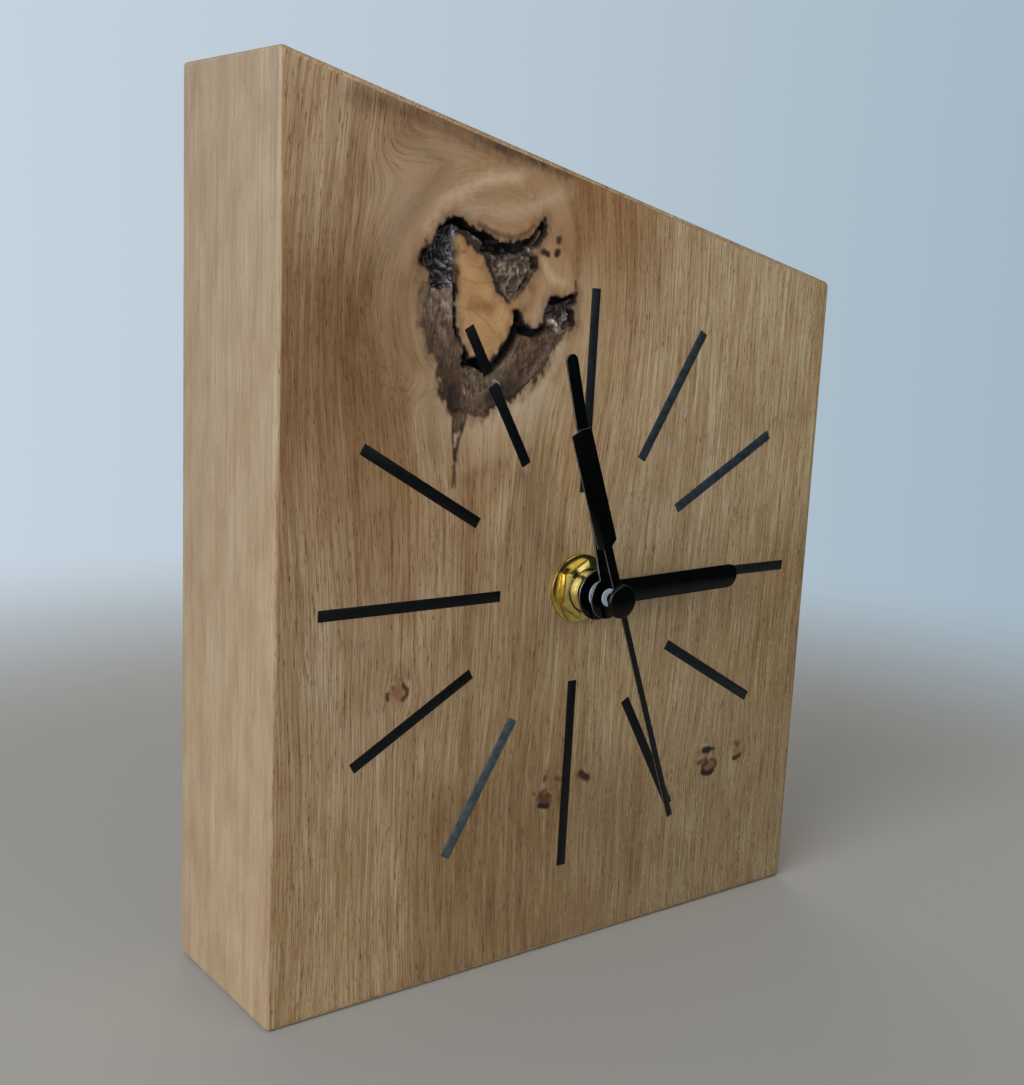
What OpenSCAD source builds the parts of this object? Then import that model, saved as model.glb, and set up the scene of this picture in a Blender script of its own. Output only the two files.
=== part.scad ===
// Desk clock in a solid oak block with a sloping top, twelve inlaid hour marks and a battery movement.
// The frame's origin is the middle of the base. X runs right, Y runs back from the dial, and Z runs up.
// Places on the dial are measured from the hand axis, and depths inside the movement from its front.

/* [Block] */
// Width of the block
block_w = 130; // [124:0.5:160]
// Depth of the block, front to back
block_d = 36.3; // [34:0.1:50]
// Height of the left edge
block_left_h = 166.5; // [150:0.5:200]
// Height of the right edge
block_right_h = 133.7; // [128:0.1:190]
// Easing radius along the block's long edges
arris_r = 1.0; // [0.4:0.1:2]
// Wood left between the dial face and the recess for the movement
wall_t = 9; // [7:0.5:12]
// Room around the movement in its recess
recess_gap = 2; // [1:0.5:4]
// Corner radius left by the router in the recess
recess_r = 4; // [2:0.5:6]

/* [Dial] */
// Hand axis to the right of the block's middle
dial_x = 0.4; // [-4:0.1:4]
// Height of the hand axis above the base
dial_z = 74; // [70:0.5:80]
// Turn of the hour marks against the block, clockwise
dial_turn = 0.5; // [-2:0.1:2]
// Radius to the outer ends of the hour marks
mark_outer_r = 56.8; // [50:0.1:58]
// Length of the short marks
mark_l = 28.6; // [20:0.1:32]
// Length of the long marks at the quarters
quarter_mark_l = 38.2; // [34:0.1:40]
// Width of an hour mark
mark_w = 2; // [1:0.1:3]
// Depth of an hour mark in the wood
mark_t = 2; // [1:0.1:3]
// Height that an hour mark stands proud of the face
mark_proud = 0.1; // [0:0.05:0.4]

/* [Knot] */
// Middle of the knot to the right of the block's middle
knot_x = -21; // [-24:0.5:-18]
// Height of the middle of the knot
knot_z = 125; // [122:0.5:128]
// Depth of the hollow in the knot
knot_depth = 4; // [3:0.1:5]
// Depth of the bark's surface in the open cleft
bark_low = 2.2; // [1.5:0.1:2.6]
// Depth of the bark's surface where it fills the hollow
bark_high = 0.5; // [0.2:0.1:1]
// Radius at which the cleft breaks the eleven o'clock mark
break_r = 46.2; // [44:0.1:48]
// Length of that break
break_l = 2.4; // [1:0.1:4]

/* [Time shown] */
// Hours on the dial
show_h = 2; // [0:1:11]
// Minutes
show_m = 57; // [0:1:59]
// Seconds
show_s = 26.6; // [0:0.1:59.9]

/* [Hands] */
// Thickness of the hour and minute hands
hand_t = 0.4; // [0.3:0.05:0.6]
// Width of the hour hand
hour_w = 4.8; // [3:0.1:6]
// Length of the hour hand from the axis
hour_l = 36.5; // [30:0.1:42]
// Radius of the hour hand's eye
hour_eye_r = 4.9; // [4.4:0.1:6]
// Stand-off of the hour hand's front from the face
hour_off = 6.5; // [6.3:0.1:7]
// Width of the minute hand
minute_w = 2.6; // [2:0.1:4]
// Length of the minute hand from the axis
minute_l = 47; // [40:0.1:54]
// Radius of the minute hand's eye
minute_eye_r = 4.1; // [3.6:0.1:5]
// Front of the hour hand to the front of the minute hand
minute_step = 2.65; // [2.4:0.05:3.4]
// Thickness of the second hand
second_t = 0.3; // [0.2:0.05:0.5]
// Width of the second hand's needle
needle_w = 1.3; // [0.8:0.1:2]
// Length of the needle from the axis
needle_l = 48.3; // [40:0.1:54]
// Width of the neck behind the axis
neck_w = 1.9; // [1.2:0.1:3]
// Radius at which the counterweight starts
weight_in_r = 11; // [8:0.1:14]
// Radius at which the counterweight ends
weight_out_r = 34; // [26:0.1:38]
// Width of the counterweight
weight_w = 4.6; // [3:0.1:6]
// Front of the minute hand to the front of the second hand
second_step = 3.45; // [3:0.05:4.5]
// Radius of the second hand's cap
cap_r = 3.2; // [2.6:0.1:4]
// Height of the cap
cap_h = 1.0; // [0.6:0.1:1.6]
// Rounding of the cap's edge
cap_round = 0.45; // [0.2:0.05:0.5]
// Rise of the cap's front from its rounded edge to its middle
cap_dome = 0.15; // [0.05:0.05:0.2]
// Wall of the collar under a hand's eye
collar_wall = 0.7; // [0.5:0.05:1]
// Length of the collar under the hour and minute hands
collar_l = 1.2; // [0.8:0.1:1.4]
// Outer radius of the second hand's tube
second_tube_r = 1.1; // [0.9:0.05:1.4]
// Width of the second hand's eye round that tube
second_eye_w = 1.2; // [0.6:0.1:1.6]
// Point of the counterweight's outer end
weight_point = 0.4; // [0:0.1:1]

/* [Fixing on the face] */
// Outer radius of the threaded bush
bush_r = 4; // [3.8:0.1:5]
// Depth of a thread groove on the bush
thread_depth = 0.3; // [0.15:0.05:0.4]
// Distance between thread grooves
thread_pitch = 0.75; // [0.5:0.05:1.25]
// Height that the bush stands out of the face
bush_proud = 4.2; // [3.6:0.1:4.6]
// Radius of the bush's flange inside the case
flange_r = 6; // [5.4:0.1:7]
// Radius of the brass washer
washer_r = 6.7; // [6.2:0.1:8]
// Thickness of the brass washer
washer_t = 0.6; // [0.4:0.1:1]
// Width of the nut across its flats
nut_af = 10.2; // [10:0.1:12]
// Height of the nut
nut_h = 2.4; // [2:0.1:3]
// Turn of the nut's corners, clockwise
nut_turn = 35; // [0:1:59]
// Height of the chamfer on the nut's front corners
nut_chamfer = 0.8; // [0.4:0.1:1]
// Thickness of the rubber gasket behind the wood
gasket_t = 1; // [0.5:0.1:1.5]
// Radius of the rubber gasket
gasket_r = 11; // [9:0.5:14]

/* [Movement case] */
// Thickness of the case's walls
case_wall = 1.2; // [1:0.1:1.6]
// Thickness of the rear cover
cover_t = 1.4; // [1:0.1:2]
// Depth of the movement, front to back
case_d = 16; // [16:0.5:18]
// Corner radius of the case
case_r = 3; // [1:0.5:4]
// Wall between the wheels and the battery
bay_wall = 1; // [0.8:0.1:1.4]
// Thickness of the plate that carries the train
plate_t = 1; // [0.8:0.1:1.2]
// Radius of the posts under the plate
post_r = 1.6; // [1.2:0.1:2]
// Distance from a post to the plate's edges
post_edge = 1.2; // [0.6:0.1:2]
// Depth of the rim under the rear cover
rim_l = 1.2; // [0.8:0.1:1.4]
// Thickness of that rim
rim_t = 0.8; // [0.6:0.1:1]

/* [Arbors] */
// Radius of the hour tube
hour_tube_r = 2.6; // [2.4:0.05:2.8]
// Height that the hour tube stands out of the hour hand
hour_tube_proud = 0.1; // [0:0.05:0.3]
// Radius of the minute arbor
minute_arbor_r = 1.7; // [1.5:0.05:1.8]
// Height that the minute arbor stands out of the minute hand
minute_arbor_proud = 0.15; // [0:0.05:0.3]
// Radius of the steel second arbor
second_arbor_r = 0.5; // [0.4:0.05:0.6]
// Radius of the other pivots
pivot_r = 0.5; // [0.4:0.05:0.6]
// Depth of a pivot in its hole
pivot_l = 0.7; // [0.5:0.05:0.8]
// Radius of the setting shaft
set_shaft_r = 1.3; // [1:0.1:1.5]
// Radius of the hub on the motion wheel
motion_hub_r = 2.6; // [2:0.1:3]
// Radius of the hubs on the other wheels
hub_r = 1.3; // [1.1:0.05:1.4]
// Radius of the bosses for the rear pivots
boss_r = 1.5; // [1.2:0.1:2]

/* [Wheels] */
// Thickness of the wheels
wheel_t = 0.8; // [0.6:0.1:1]
// Thickness of the hour wheel
hour_wheel_t = 1.2; // [0.8:0.1:1.4]
// Length by which a pinion is longer than the wheel it drives
pinion_extra = 0.4; // [0.2:0.1:0.6]
// Tooth module of the minute arbor's pinion and the motion wheel
motion_module = 0.5; // [0.46:0.01:0.52]
// Tooth module of the centre wheel
centre_module = 0.3; // [0.28:0.01:0.31]
// Tooth module of the second wheel
second_module = 0.35; // [0.3:0.01:0.36]
// Tooth module of the rotor's pinion
rotor_module = 0.25; // [0.22:0.01:0.26]

/* [Motor] */
// Radius of the rotor's magnet
magnet_r = 3; // [2.5:0.1:3.2]
// Thickness of the rotor's magnet
magnet_t = 1; // [0.8:0.1:1.2]
// Air gap between the magnet and the stator
air_gap = 0.4; // [0.3:0.05:0.6]
// Thickness of the stator and of the coil's core
stator_t = 0.8; // [0.6:0.1:1]
// Width of the stator's bars
stator_w = 4.4; // [3.6:0.1:5]
// Width of the stator's ring round the magnet
ring_w = 1.2; // [0.8:0.1:1.6]
// Width of the coil's core
core_w = 2.4; // [1.8:0.1:2.6]
// Height of the coil above the hand axis
coil_z = 21.5; // [21:0.1:23]
// Length of the coil between its flanges
coil_l = 19; // [15:0.5:20]
// Radius of the coil's flanges
coil_r = 3.5; // [3:0.1:3.6]
// Radius of the bobbin's tube
bobbin_r = 1.9; // [1.7:0.1:2.2]
// Height of the flanges over the wire
wire_below = 0.3; // [0.1:0.1:0.6]
// Room between the coil and the case
coil_room = 1.8; // [1:0.1:2.5]
// Thickness of a flange
flange_t = 0.7; // [0.5:0.1:1]

/* [Circuit] */
// Width of the circuit board
board_w = 15.5; // [13:0.5:16]
// Height of the circuit board
board_h = 18.5; // [16:0.5:19]
// Thickness of the circuit board
board_t = 1; // [0.8:0.1:1.2]
// Height of the pads under the board
pad_h = 0.7; // [0.5:0.1:0.9]
// Radius of the quartz crystal's can
crystal_r = 1; // [0.8:0.1:1.1]
// Length of the quartz crystal's can
crystal_l = 6; // [5:0.1:7]
// Radius of the drop of resin over the chip
drop_r = 2.4; // [2:0.1:3]
// Height of that drop
drop_h = 0.9; // [0.6:0.1:1.1]
// Distance of the board's pads and of the crystal from the board's edges
pad_edge = 2; // [1.5:0.1:3]
// Radius of a pad
pad_r = 1; // [0.8:0.1:1.4]

/* [Battery] */
// Radius of the AA cell
cell_r = 7.05; // [6.9:0.05:7.25]
// Length of the cell without its button
cell_l = 49; // [48:0.1:50]
// Radius of the cell's button
button_r = 2.7; // [2:0.1:3]
// Length of the button
button_l = 1.4; // [1:0.1:1.6]
// Room for a contact at each end of the cell
contact_room = 1.6; // [1.4:0.1:3]
// Thickness of the contact strips
contact_t = 0.4; // [0.3:0.05:0.5]
// Width of the contact plates and of their strips
contact_w = 6; // [4:0.5:8]
// Width of a strip behind the train plate
strip_w = 1.8; // [1.2:0.1:2.4]
// Radius of the dimple that meets the cell's button
dimple_r = 1.5; // [1:0.1:2]
// Clearance round the cell in its bay
cell_gap = 0.4; // [0.2:0.05:0.6]

/* [Setting knob] */
// Radius of the knob
knob_r = 6.5; // [5:0.1:8]
// Thickness of the knob
knob_t = 3.2; // [2:0.1:5]
// Number of grip grooves round the knob
knob_grooves = 28; // [16:1:40]
// Radius of a grip groove
groove_r = 0.4; // [0.2:0.05:0.5]
// Width of the rim round the dish in the knob's back
dish_rim = 1.5; // [1:0.1:2.5]
// Depth of that dish
dish_depth = 0.5; // [0.2:0.1:1]

/* [Clearances] */
// Radial clearance of a turning fit
run_gap = 0.06; // [0.02:0.01:0.1]
// Radial clearance of pieces pressed or screwed together
press_gap = 0.02; // [0.01:0.01:0.05]
// Radial clearance of the bush in the wood
bush_gap = 0.3; // [0.1:0.05:0.5]
// Gap between pieces that move past each other
end_gap = 0.3; // [0.25:0.05:0.4]
// Clearance round a piece that is dropped into its place
seat_gap = 0.2; // [0.1:0.05:0.3]
// Glue gap beside an hour mark
glue_gap = 0.05; // [0.02:0.01:0.1]
// Room from a wheel's teeth to the case
tooth_room = 0.7; // [0.6:0.1:1.5]

/* [Hidden] */
$fn = 64;

// Tooth counts. Sixty turns of the second hand make one of the centre wheel, and twelve of the minute
// hand make one of the hour hand.
cannon_n = 12;
motion_wheel_n = 36;
motion_pinion_n = 10;
hour_wheel_n = 40;
second_pinion_n = 8;
third_wheel_n = 60;
third_pinion_n = 8;
centre_wheel_n = 64;
second_wheel_n = 40;
intermediate_pinion_n = 8;
intermediate_wheel_n = 48;
rotor_pinion_n = 8;

// Tooth form, in shares of the tooth module or of the room for one tooth
addendum = 0.9;
dedendum = 1.25;
tooth_fill = 0.82;
tip_fill = 0.5;
root_fill = 1.25;

// Planes of the block
face_y = -block_d / 2;
back_y = block_d / 2;
slope = atan((block_left_h - block_right_h) / block_w);

// Distances between arbors, and the modules that follow from them
motion_dist = motion_module * (cannon_n + motion_wheel_n) / 2;
hour_module = 2 * motion_dist / (motion_pinion_n + hour_wheel_n);
third_dist = centre_module * (third_pinion_n + centre_wheel_n) / 2;
third_module = 2 * third_dist / (second_pinion_n + third_wheel_n);
intermediate_dist = second_module * (intermediate_pinion_n + second_wheel_n) / 2;
rotor_dist = rotor_module * (rotor_pinion_n + intermediate_wheel_n) / 2;

// Directions to the arbors, anticlockwise from the right
motion_dir = 0;
third_dir = 180;
intermediate_dir = 110;
rotor_dir = 135;

// Arbor places on the dial
motion_at = motion_dist * [cos(motion_dir), sin(motion_dir)];
third_at = third_dist * [cos(third_dir), sin(third_dir)];
intermediate_at = intermediate_dist * [cos(intermediate_dir), sin(intermediate_dir)];
rotor_at = intermediate_at + rotor_dist * [cos(rotor_dir), sin(rotor_dir)];

// Sizes of the case that follow from what it holds
room_below = hour_module * (hour_wheel_n / 2 + addendum) + tooth_room;
room_above = coil_z + coil_r + coil_room;
bay_h = 2 * (cell_r + cell_gap);
bay_w = cell_l + button_l + 2 * contact_room;
case_w = bay_w + 2 * case_wall;
case_top = room_above + case_wall;
case_bottom = -(room_below + bay_wall + bay_h + case_wall);
bay_z = case_bottom + case_wall + bay_h / 2;
cover_bottom = -(room_below + bay_wall);

// Depths inside the movement
movement_y = face_y + wall_t + gasket_t;
hour_y = movement_y + case_wall + end_gap;
cannon_y = hour_y + hour_wheel_t + end_gap;
motion_y = cannon_y + pinion_extra;
cannon_l = wheel_t + 2 * pinion_extra;
centre_y = cannon_y + cannon_l + end_gap;
third_pinion_y = centre_y - pinion_extra / 2;
third_y = centre_y + wheel_t + pinion_extra + end_gap;
second_pinion_y = third_y - pinion_extra / 2;
plate_y = third_y + wheel_t + pinion_extra / 2 + end_gap;
plate_back = plate_y + plate_t;
second_y = plate_back + pinion_extra;
magnet_y = plate_back + end_gap;
intermediate_pinion_y = plate_back + end_gap;
intermediate_y = second_y + wheel_t + pinion_extra;
rotor_pinion_y = intermediate_y - pinion_extra / 2;
train_end = intermediate_y + wheel_t + pinion_extra / 2;
board_y = plate_back + pad_h;
core_y = plate_back + stator_t;
cover_y = movement_y + case_d - cover_t;
movement_back = movement_y + case_d;
boss_y = train_end + end_gap;
cell_y = movement_y + case_wall + cell_gap + cell_r;
knob_y = movement_back + end_gap;

// Planes of the hands' fronts
hour_front = face_y - hour_off;
minute_front = hour_front - minute_step;
second_front = minute_front - second_step;

// Angles of the hands on the dial, clockwise from twelve
second_angle = 6 * show_s + dial_turn;
minute_angle = 6 * (show_m + show_s / 60) + dial_turn;
hour_angle = 30 * (show_h + show_m / 60 + show_s / 3600) + dial_turn;

// Outline of the hollow in the knot, from the knot's middle. A tongue of sound wood stands in the C.
hollow = [
    [-10.4, 17.2], [-12.5, 16], [-14, 14.3], [-15.2, 12], [-17.2, 10.8], [-17.4, 9.3], [-16, 8.3],
    [-15.2, 7], [-15.8, 4.5], [-16.4, 1.5], [-15.8, -1.2], [-15.2, -4.5], [-13.2, -6.5], [-12.2, -9.5],
    [-11.2, -13.5], [-9.5, -15.8], [-6.5, -16], [-4.5, -17.2], [-2.5, -16.5], [1.5, -14.4], [4.5, -13.4],
    [6, -12], [8.5, -10.2], [10, -8.2], [11.8, -6.2], [12.6, -3.4], [15, -2.4], [16.8, -1], [16.4, 1.5],
    [16.9, 4.8], [15.6, 4.3], [13.5, 3.9], [11.2, 4], [10, 2], [9.8, -0.5], [8.4, -1.8], [6.5, -1.8],
    [5, -0.5], [4, 1.6], [3.2, 1.4], [2.8, -1.2], [1.4, -3.8], [-0.2, -6.4], [-1.7, -7.6], [-3.4, -8.1],
    [-4.8, -7], [-6.4, -7.1], [-7.4, -5.4], [-8.8, -4], [-9.6, -1], [-10, 2.5], [-9.8, 6], [-10.2, 9.5],
    [-10.3, 14.4], [-8.4, 14], [-6, 12], [-3.7, 10.4], [-1.8, 7.4], [-0.6, 4.8], [2.2, 2.9], [3.8, 4.6],
    [5.8, 6.6], [6.4, 8.6], [7.8, 9.2], [6.6, 12.2], [8, 13.4], [9.3, 15.6], [8.8, 17.8], [7.4, 15.8],
    [5.6, 14.2], [2.5, 13], [-1, 13.2], [-4.5, 14.8], [-7.4, 15.6], [-9, 17]
];
// Stretch of the knot where the bark fills the hollow almost to the face
filled = [
    [-19, 6], [-11.5, 6], [-11.2, 0], [-9.8, -4.5], [-8, -8.4], [-3.5, -9.8], [0.5, -8.8], [3.2, -5.5],
    [5, -3.4], [9.5, -3.2], [12, -0.8], [19, -0.2], [19, -20], [-19, -20]
];

// Turns a drawing on the dial's plane into a slab that starts at depth y and runs back
module slab(y, t) {
    translate([0, y + t, 0]) rotate([90, 0, 0]) linear_extrude(t) children();
}

// Round bar along Y from depth y0 to depth y1
module rod(r, y0, y1) {
    translate([0, y0, 0]) rotate([-90, 0, 0]) cylinder(r = r, h = y1 - y0);
}

// Solid of revolution about Y, from points of radius and depth behind y
module turned(y, profile) {
    translate([0, y, 0]) rotate([-90, 0, 0]) rotate_extrude() polygon(profile);
}

// Moves what is drawn about the hand axis to its place in the block
module on_axis(at = [0, 0]) {
    translate([dial_x + at[0], 0, dial_z + at[1]]) children();
}

// Turns a shape that points up by an angle clockwise as seen from the front
module pointing(angle) {
    rotate([0, angle, 0]) children();
}

// Rectangle with true round corners between two opposite corners
module round_rect(low, high, r) {
    size = high - low;
    translate(low + [r, 0]) square(size - [2 * r, 0]);
    translate(low + [0, r]) square(size - [0, 2 * r]);
    for (x = [low[0] + r, high[0] - r])
        for (y = [low[1] + r, high[1] - r])
            translate([x, y]) circle(r);
}

// Points of a convex outline, anticlockwise, with each corner rounded to radius r in flat steps
function rounded(points, r, steps = 6) = [
    for (i = [0:len(points) - 1])
        let(
            here = points[i],
            to_last = unit(points[(i + len(points) - 1) % len(points)] - here),
            to_next = unit(points[(i + 1) % len(points)] - here),
            half = acos(to_last * to_next) / 2,
            middle = here + unit(to_last + to_next) * r / sin(half),
            start = atan2(-unit(to_last + to_next)[1], -unit(to_last + to_next)[0]) - (90 - half)
        )
        for (k = [0:steps])
            middle + r * [cos(start + 2 * (90 - half) * k / steps), sin(start + 2 * (90 - half) * k / steps)]
];

function unit(v) = v / norm(v);

// Outline of one tooth, about the angle a in degrees
function tooth(m, n, a) =
    let(
        pitch_r = m * n / 2,
        half = 90 / n * tooth_fill,
        foot = half * (n < 14 ? 1 : root_fill)
    )
    [
        for (p = [
            [pitch_r - dedendum * m, -foot], [pitch_r, -half], [pitch_r + addendum * m, -half * tip_fill],
            [pitch_r + addendum * m, half * tip_fill], [pitch_r, half], [pitch_r - dedendum * m, foot]
        ])
            p[0] * [cos(a + p[1]), sin(a + p[1])]
    ];

// Toothed wheel of n teeth, its first tooth at the angle first
module toothed(m, n, first, y, t) {
    slab(y, t) polygon([for (k = [0:n - 1]) each tooth(m, n, first + k * 360 / n)]);
}

// Angle of the first tooth of a driven wheel, so that a gap faces the driver in direction dir
function gap_to(dir, n) = dir + 180 / n;

// Radius to the tips of a wheel's teeth
function tip_r(m, n) = m * (n / 2 + addendum);

// Outline of the block's front, with eased corners
module block_front() {
    polygon(rounded(
        [[-block_w / 2, 0], [block_w / 2, 0], [block_w / 2, block_right_h], [-block_w / 2, block_left_h]],
        arris_r
    ));
}

// The block before it is cut: four bars whose common part has every edge eased
module blank() {
    tall = 2 * max(block_left_h, block_right_h);
    section = rounded(
        [[face_y, 0], [back_y, 0], [back_y, tall], [face_y, tall]], arris_r
    );
    intersection() {
        slab(face_y, block_d) block_front();
        // Bottom edges
        rotate([90, 0, 90]) translate([0, 0, -block_w]) linear_extrude(2 * block_w) polygon(section);
        // Top edges, along the slope
        translate([-block_w / 2, 0, block_left_h]) rotate([0, slope, 0]) mirror([0, 0, 1])
            rotate([90, 0, 90]) translate([0, 0, -block_w]) linear_extrude(3 * block_w) polygon(section);
        // Upright edges
        translate([0, 0, -1]) linear_extrude(tall) polygon(rounded(
            [[-block_w / 2, face_y], [block_w / 2, face_y], [block_w / 2, back_y], [-block_w / 2, back_y]],
            arris_r
        ));
    }
}

// Room that one hour mark, or with a wider gap its groove, takes up on the dial
module mark_shape(k, gap) {
    length = k % 3 == 0 ? quarter_mark_l : mark_l;
    rotate(-30 * k - dial_turn) difference() {
        translate([-mark_w / 2 - gap, mark_outer_r - length - gap]) square([mark_w, length] + 2 * [gap, gap]);
        if (k == 11)
            translate([-mark_w, break_r - break_l / 2 + gap]) square([2 * mark_w, break_l - 2 * gap]);
    }
}

// Grooves for all the hour marks
module mark_grooves() {
    for (k = [1:12])
        on_axis() slab(face_y - 1, mark_t + 1) mark_shape(k, glue_gap);
}

// Outline of the movement's case, grown by gap
module case_outline(gap, r) {
    round_rect([-case_w / 2 - gap, case_bottom - gap], [case_w / 2 + gap, case_top + gap], r);
}

module oak_block() {
    color("#a88a62") difference() {
        blank();
        // Recess for the movement, open at the back
        on_axis() slab(face_y + wall_t, block_d) case_outline(recess_gap, recess_r);
        on_axis() rod(bush_r + bush_gap, face_y - 1, back_y);
        mark_grooves();
        // Hollow in the knot
        translate([knot_x, 0, knot_z]) slab(face_y - 1, knot_depth + 1) polygon(hollow);
    }
}

module knot_bark() {
    color("#4a382c") difference() {
        translate([knot_x, 0, knot_z]) {
            slab(face_y + bark_low, knot_depth - bark_low) polygon(hollow);
            slab(face_y + bark_high, knot_depth - bark_high) intersection() {
                polygon(hollow);
                polygon(filled);
            }
        }
        mark_grooves();
    }
}

module hour_mark(k) {
    color("#22272b") on_axis() slab(face_y - mark_proud, mark_t + mark_proud) mark_shape(k, 0);
}

module brass_washer() {
    color("#c8a548") on_axis() difference() {
        rod(washer_r, face_y - washer_t, face_y);
        rod(bush_r + bush_gap / 2, face_y - washer_t - 1, face_y + 1);
    }
}

module hex_nut() {
    corner_r = nut_af / 2 / cos(30);
    front = face_y - washer_t - nut_h;
    color("#d2b050") on_axis() pointing(nut_turn) difference() {
        intersection() {
            slab(front, nut_h) circle(corner_r, $fn = 6);
            turned(front, [
                [0, 0], [corner_r - 2 * nut_chamfer, 0], [corner_r, nut_chamfer],
                [corner_r, nut_h], [0, nut_h]
            ]);
        }
        rod(bush_r + press_gap, front - 1, face_y);
    }
}

module threaded_bush() {
    front = face_y - bush_proud;
    length = bush_proud + wall_t + gasket_t;
    turns = floor((length - 1) / thread_pitch);
    color("#c09a3e") on_axis() difference() {
        union() {
            turned(front, concat(
                [[0, 0], [bush_r - thread_depth, 0]],
                [
                    for (k = [0:turns - 1])
                        each [
                            [bush_r - thread_depth, k * thread_pitch],
                            [bush_r, (k + 0.5) * thread_pitch]
                        ]
                ],
                [[bush_r - thread_depth, turns * thread_pitch], [bush_r - thread_depth, length], [0, length]]
            ));
            rod(flange_r, movement_y, movement_y + case_wall);
        }
        rod(hour_tube_r + run_gap, front - 1, movement_y + case_wall + 1);
    }
}

module rubber_gasket() {
    color("#1c1c1c") on_axis() difference() {
        rod(gasket_r, face_y + wall_t, movement_y);
        rod(bush_r + press_gap, face_y, movement_y + 1);
    }
}

// Places of the posts that carry the train plate
module at_posts() {
    inset = seat_gap + post_edge + post_r;
    for (x = [-1, 1])
        for (z = [inset - room_below, plate_top() - inset])
            translate([x * (case_w / 2 - case_wall - inset), 0, z]) children();
}

// Upper edge of the train plate, just below the coil
function plate_top() = coil_z - coil_r - 2 * end_gap;

module movement_case() {
    inside = case_w / 2 - case_wall;
    color("#26282b") on_axis() {
        difference() {
            slab(movement_y, case_d) case_outline(0, case_r);
            // Chamber for the wheels, with square lower corners for the contacts
            slab(movement_y + case_wall, case_d) {
                round_rect([-inside, -room_below], [inside, room_above], case_r - case_wall);
                translate([-inside, -room_below]) square([2 * inside, case_r]);
            }
            // Seat of the rear cover
            slab(cover_y, case_d) translate([-case_w, cover_bottom]) square([2 * case_w, 2 * case_w]);
            // Battery bay, open at the back
            slab(movement_y + case_wall, case_d)
                translate([-bay_w / 2, bay_z - bay_h / 2]) square([bay_w, bay_h]);
            // Slots where the contacts pass from the bay to the wheels' chamber
            for (x = [-inside, inside - contact_t - seat_gap])
                slab(plate_back, case_d) translate([x, cover_bottom - 1])
                    square([contact_t + seat_gap, bay_wall + 2]);
            rod(flange_r + press_gap, movement_y - 1, movement_y + case_wall + 1);
            for (at = [motion_at, third_at])
                translate([at[0], 0, at[1]])
                    rod(pivot_r + run_gap, movement_y + case_wall - pivot_l - seat_gap, hour_y);
        }
        at_posts() rod(post_r, movement_y + case_wall, plate_y);
    }
}

module rear_cover() {
    inside = case_w / 2 - case_wall - seat_gap;
    color("#2a2c2f") on_axis() difference() {
        union() {
            slab(cover_y, cover_t) intersection() {
                case_outline(0, case_r);
                translate([-case_w, cover_bottom]) square([2 * case_w, 2 * case_w]);
            }
            // Rim that drops into the case
            slab(cover_y - rim_l, rim_l) difference() {
                round_rect(
                    [-inside, seat_gap - room_below], [inside, room_above - seat_gap], case_r - case_wall
                );
                round_rect(
                    [rim_t - inside, seat_gap + rim_t - room_below],
                    [inside - rim_t, room_above - seat_gap - rim_t], case_r - case_wall
                );
            }
            // Bosses for the rear pivots
            for (at = [[0, 0], intermediate_at, rotor_at])
                translate([at[0], 0, at[1]]) rod(boss_r, boss_y, cover_y);
        }
        // Notches in the rim for the contacts
        slab(cover_y - rim_l - 1, rim_l + 1)
            for (x = [-1, 1])
                translate([x * inside, -room_below]) square([4 * rim_t, 3], center = true);
        rod(second_arbor_r + run_gap, boss_y - 1, boss_y + pivot_l + seat_gap);
        for (at = [intermediate_at, rotor_at])
            translate([at[0], 0, at[1]]) rod(pivot_r + run_gap, boss_y - 1, boss_y + pivot_l + seat_gap);
        translate([motion_at[0], 0, motion_at[1]]) rod(set_shaft_r + run_gap, cover_y - 1, movement_back + 1);
    }
}

module train_plate() {
    inside = case_w / 2 - case_wall - seat_gap;
    color("#d9d8d2") on_axis() {
        difference() {
            slab(plate_y, plate_t)
                round_rect([-inside, seat_gap - room_below], [inside, plate_top()], case_r - case_wall);
            // The second wheel's pinion goes through here
            rod(tip_r(third_module, second_pinion_n) + end_gap, plate_y - 1, plate_back + 1);
            translate([motion_at[0], 0, motion_at[1]])
                rod(set_shaft_r + end_gap, plate_y - 1, plate_back + 1);
            for (at = [third_at, intermediate_at, rotor_at])
                translate([at[0], 0, at[1]]) rod(pivot_r + run_gap, plate_y - 1, plate_back + 1);
        }
        // Pads for the circuit board
        for (x = [pad_edge, board_w - pad_edge])
            for (z = [pad_edge, board_h - pad_edge])
                translate([board_low()[0] + x, 0, board_low()[1] + z]) rod(pad_r, plate_back, board_y);
    }
}

// Lower left corner of the circuit board
function board_low() = [case_wall - case_w / 2, -room_below] + (2 * seat_gap + contact_t) * [1, 1];

module hour_wheel() {
    hour_end = hour_front - hour_tube_proud;
    color("#dcdfe0") on_axis() difference() {
        union() {
            toothed(hour_module, hour_wheel_n, gap_to(motion_dir, hour_wheel_n), hour_y, hour_wheel_t);
            rod(hour_tube_r, hour_end, hour_y + hour_wheel_t);
        }
        rod(minute_arbor_r + run_gap, hour_end - 1, cannon_y);
    }
}

module minute_arbor() {
    arbor_end = minute_front - minute_arbor_proud;
    color("#d6dadc") on_axis() difference() {
        union() {
            rod(minute_arbor_r, arbor_end, second_pinion_y - end_gap);
            toothed(motion_module, cannon_n, motion_dir, cannon_y, cannon_l);
        }
        rod(second_arbor_r + run_gap, arbor_end - 1, third_y);
    }
}

module centre_wheel() {
    color("#e4dfce") on_axis() difference() {
        toothed(centre_module, centre_wheel_n, gap_to(third_dir, centre_wheel_n), centre_y, wheel_t);
        rod(minute_arbor_r + run_gap, centre_y - 1, third_y);
    }
}

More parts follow.
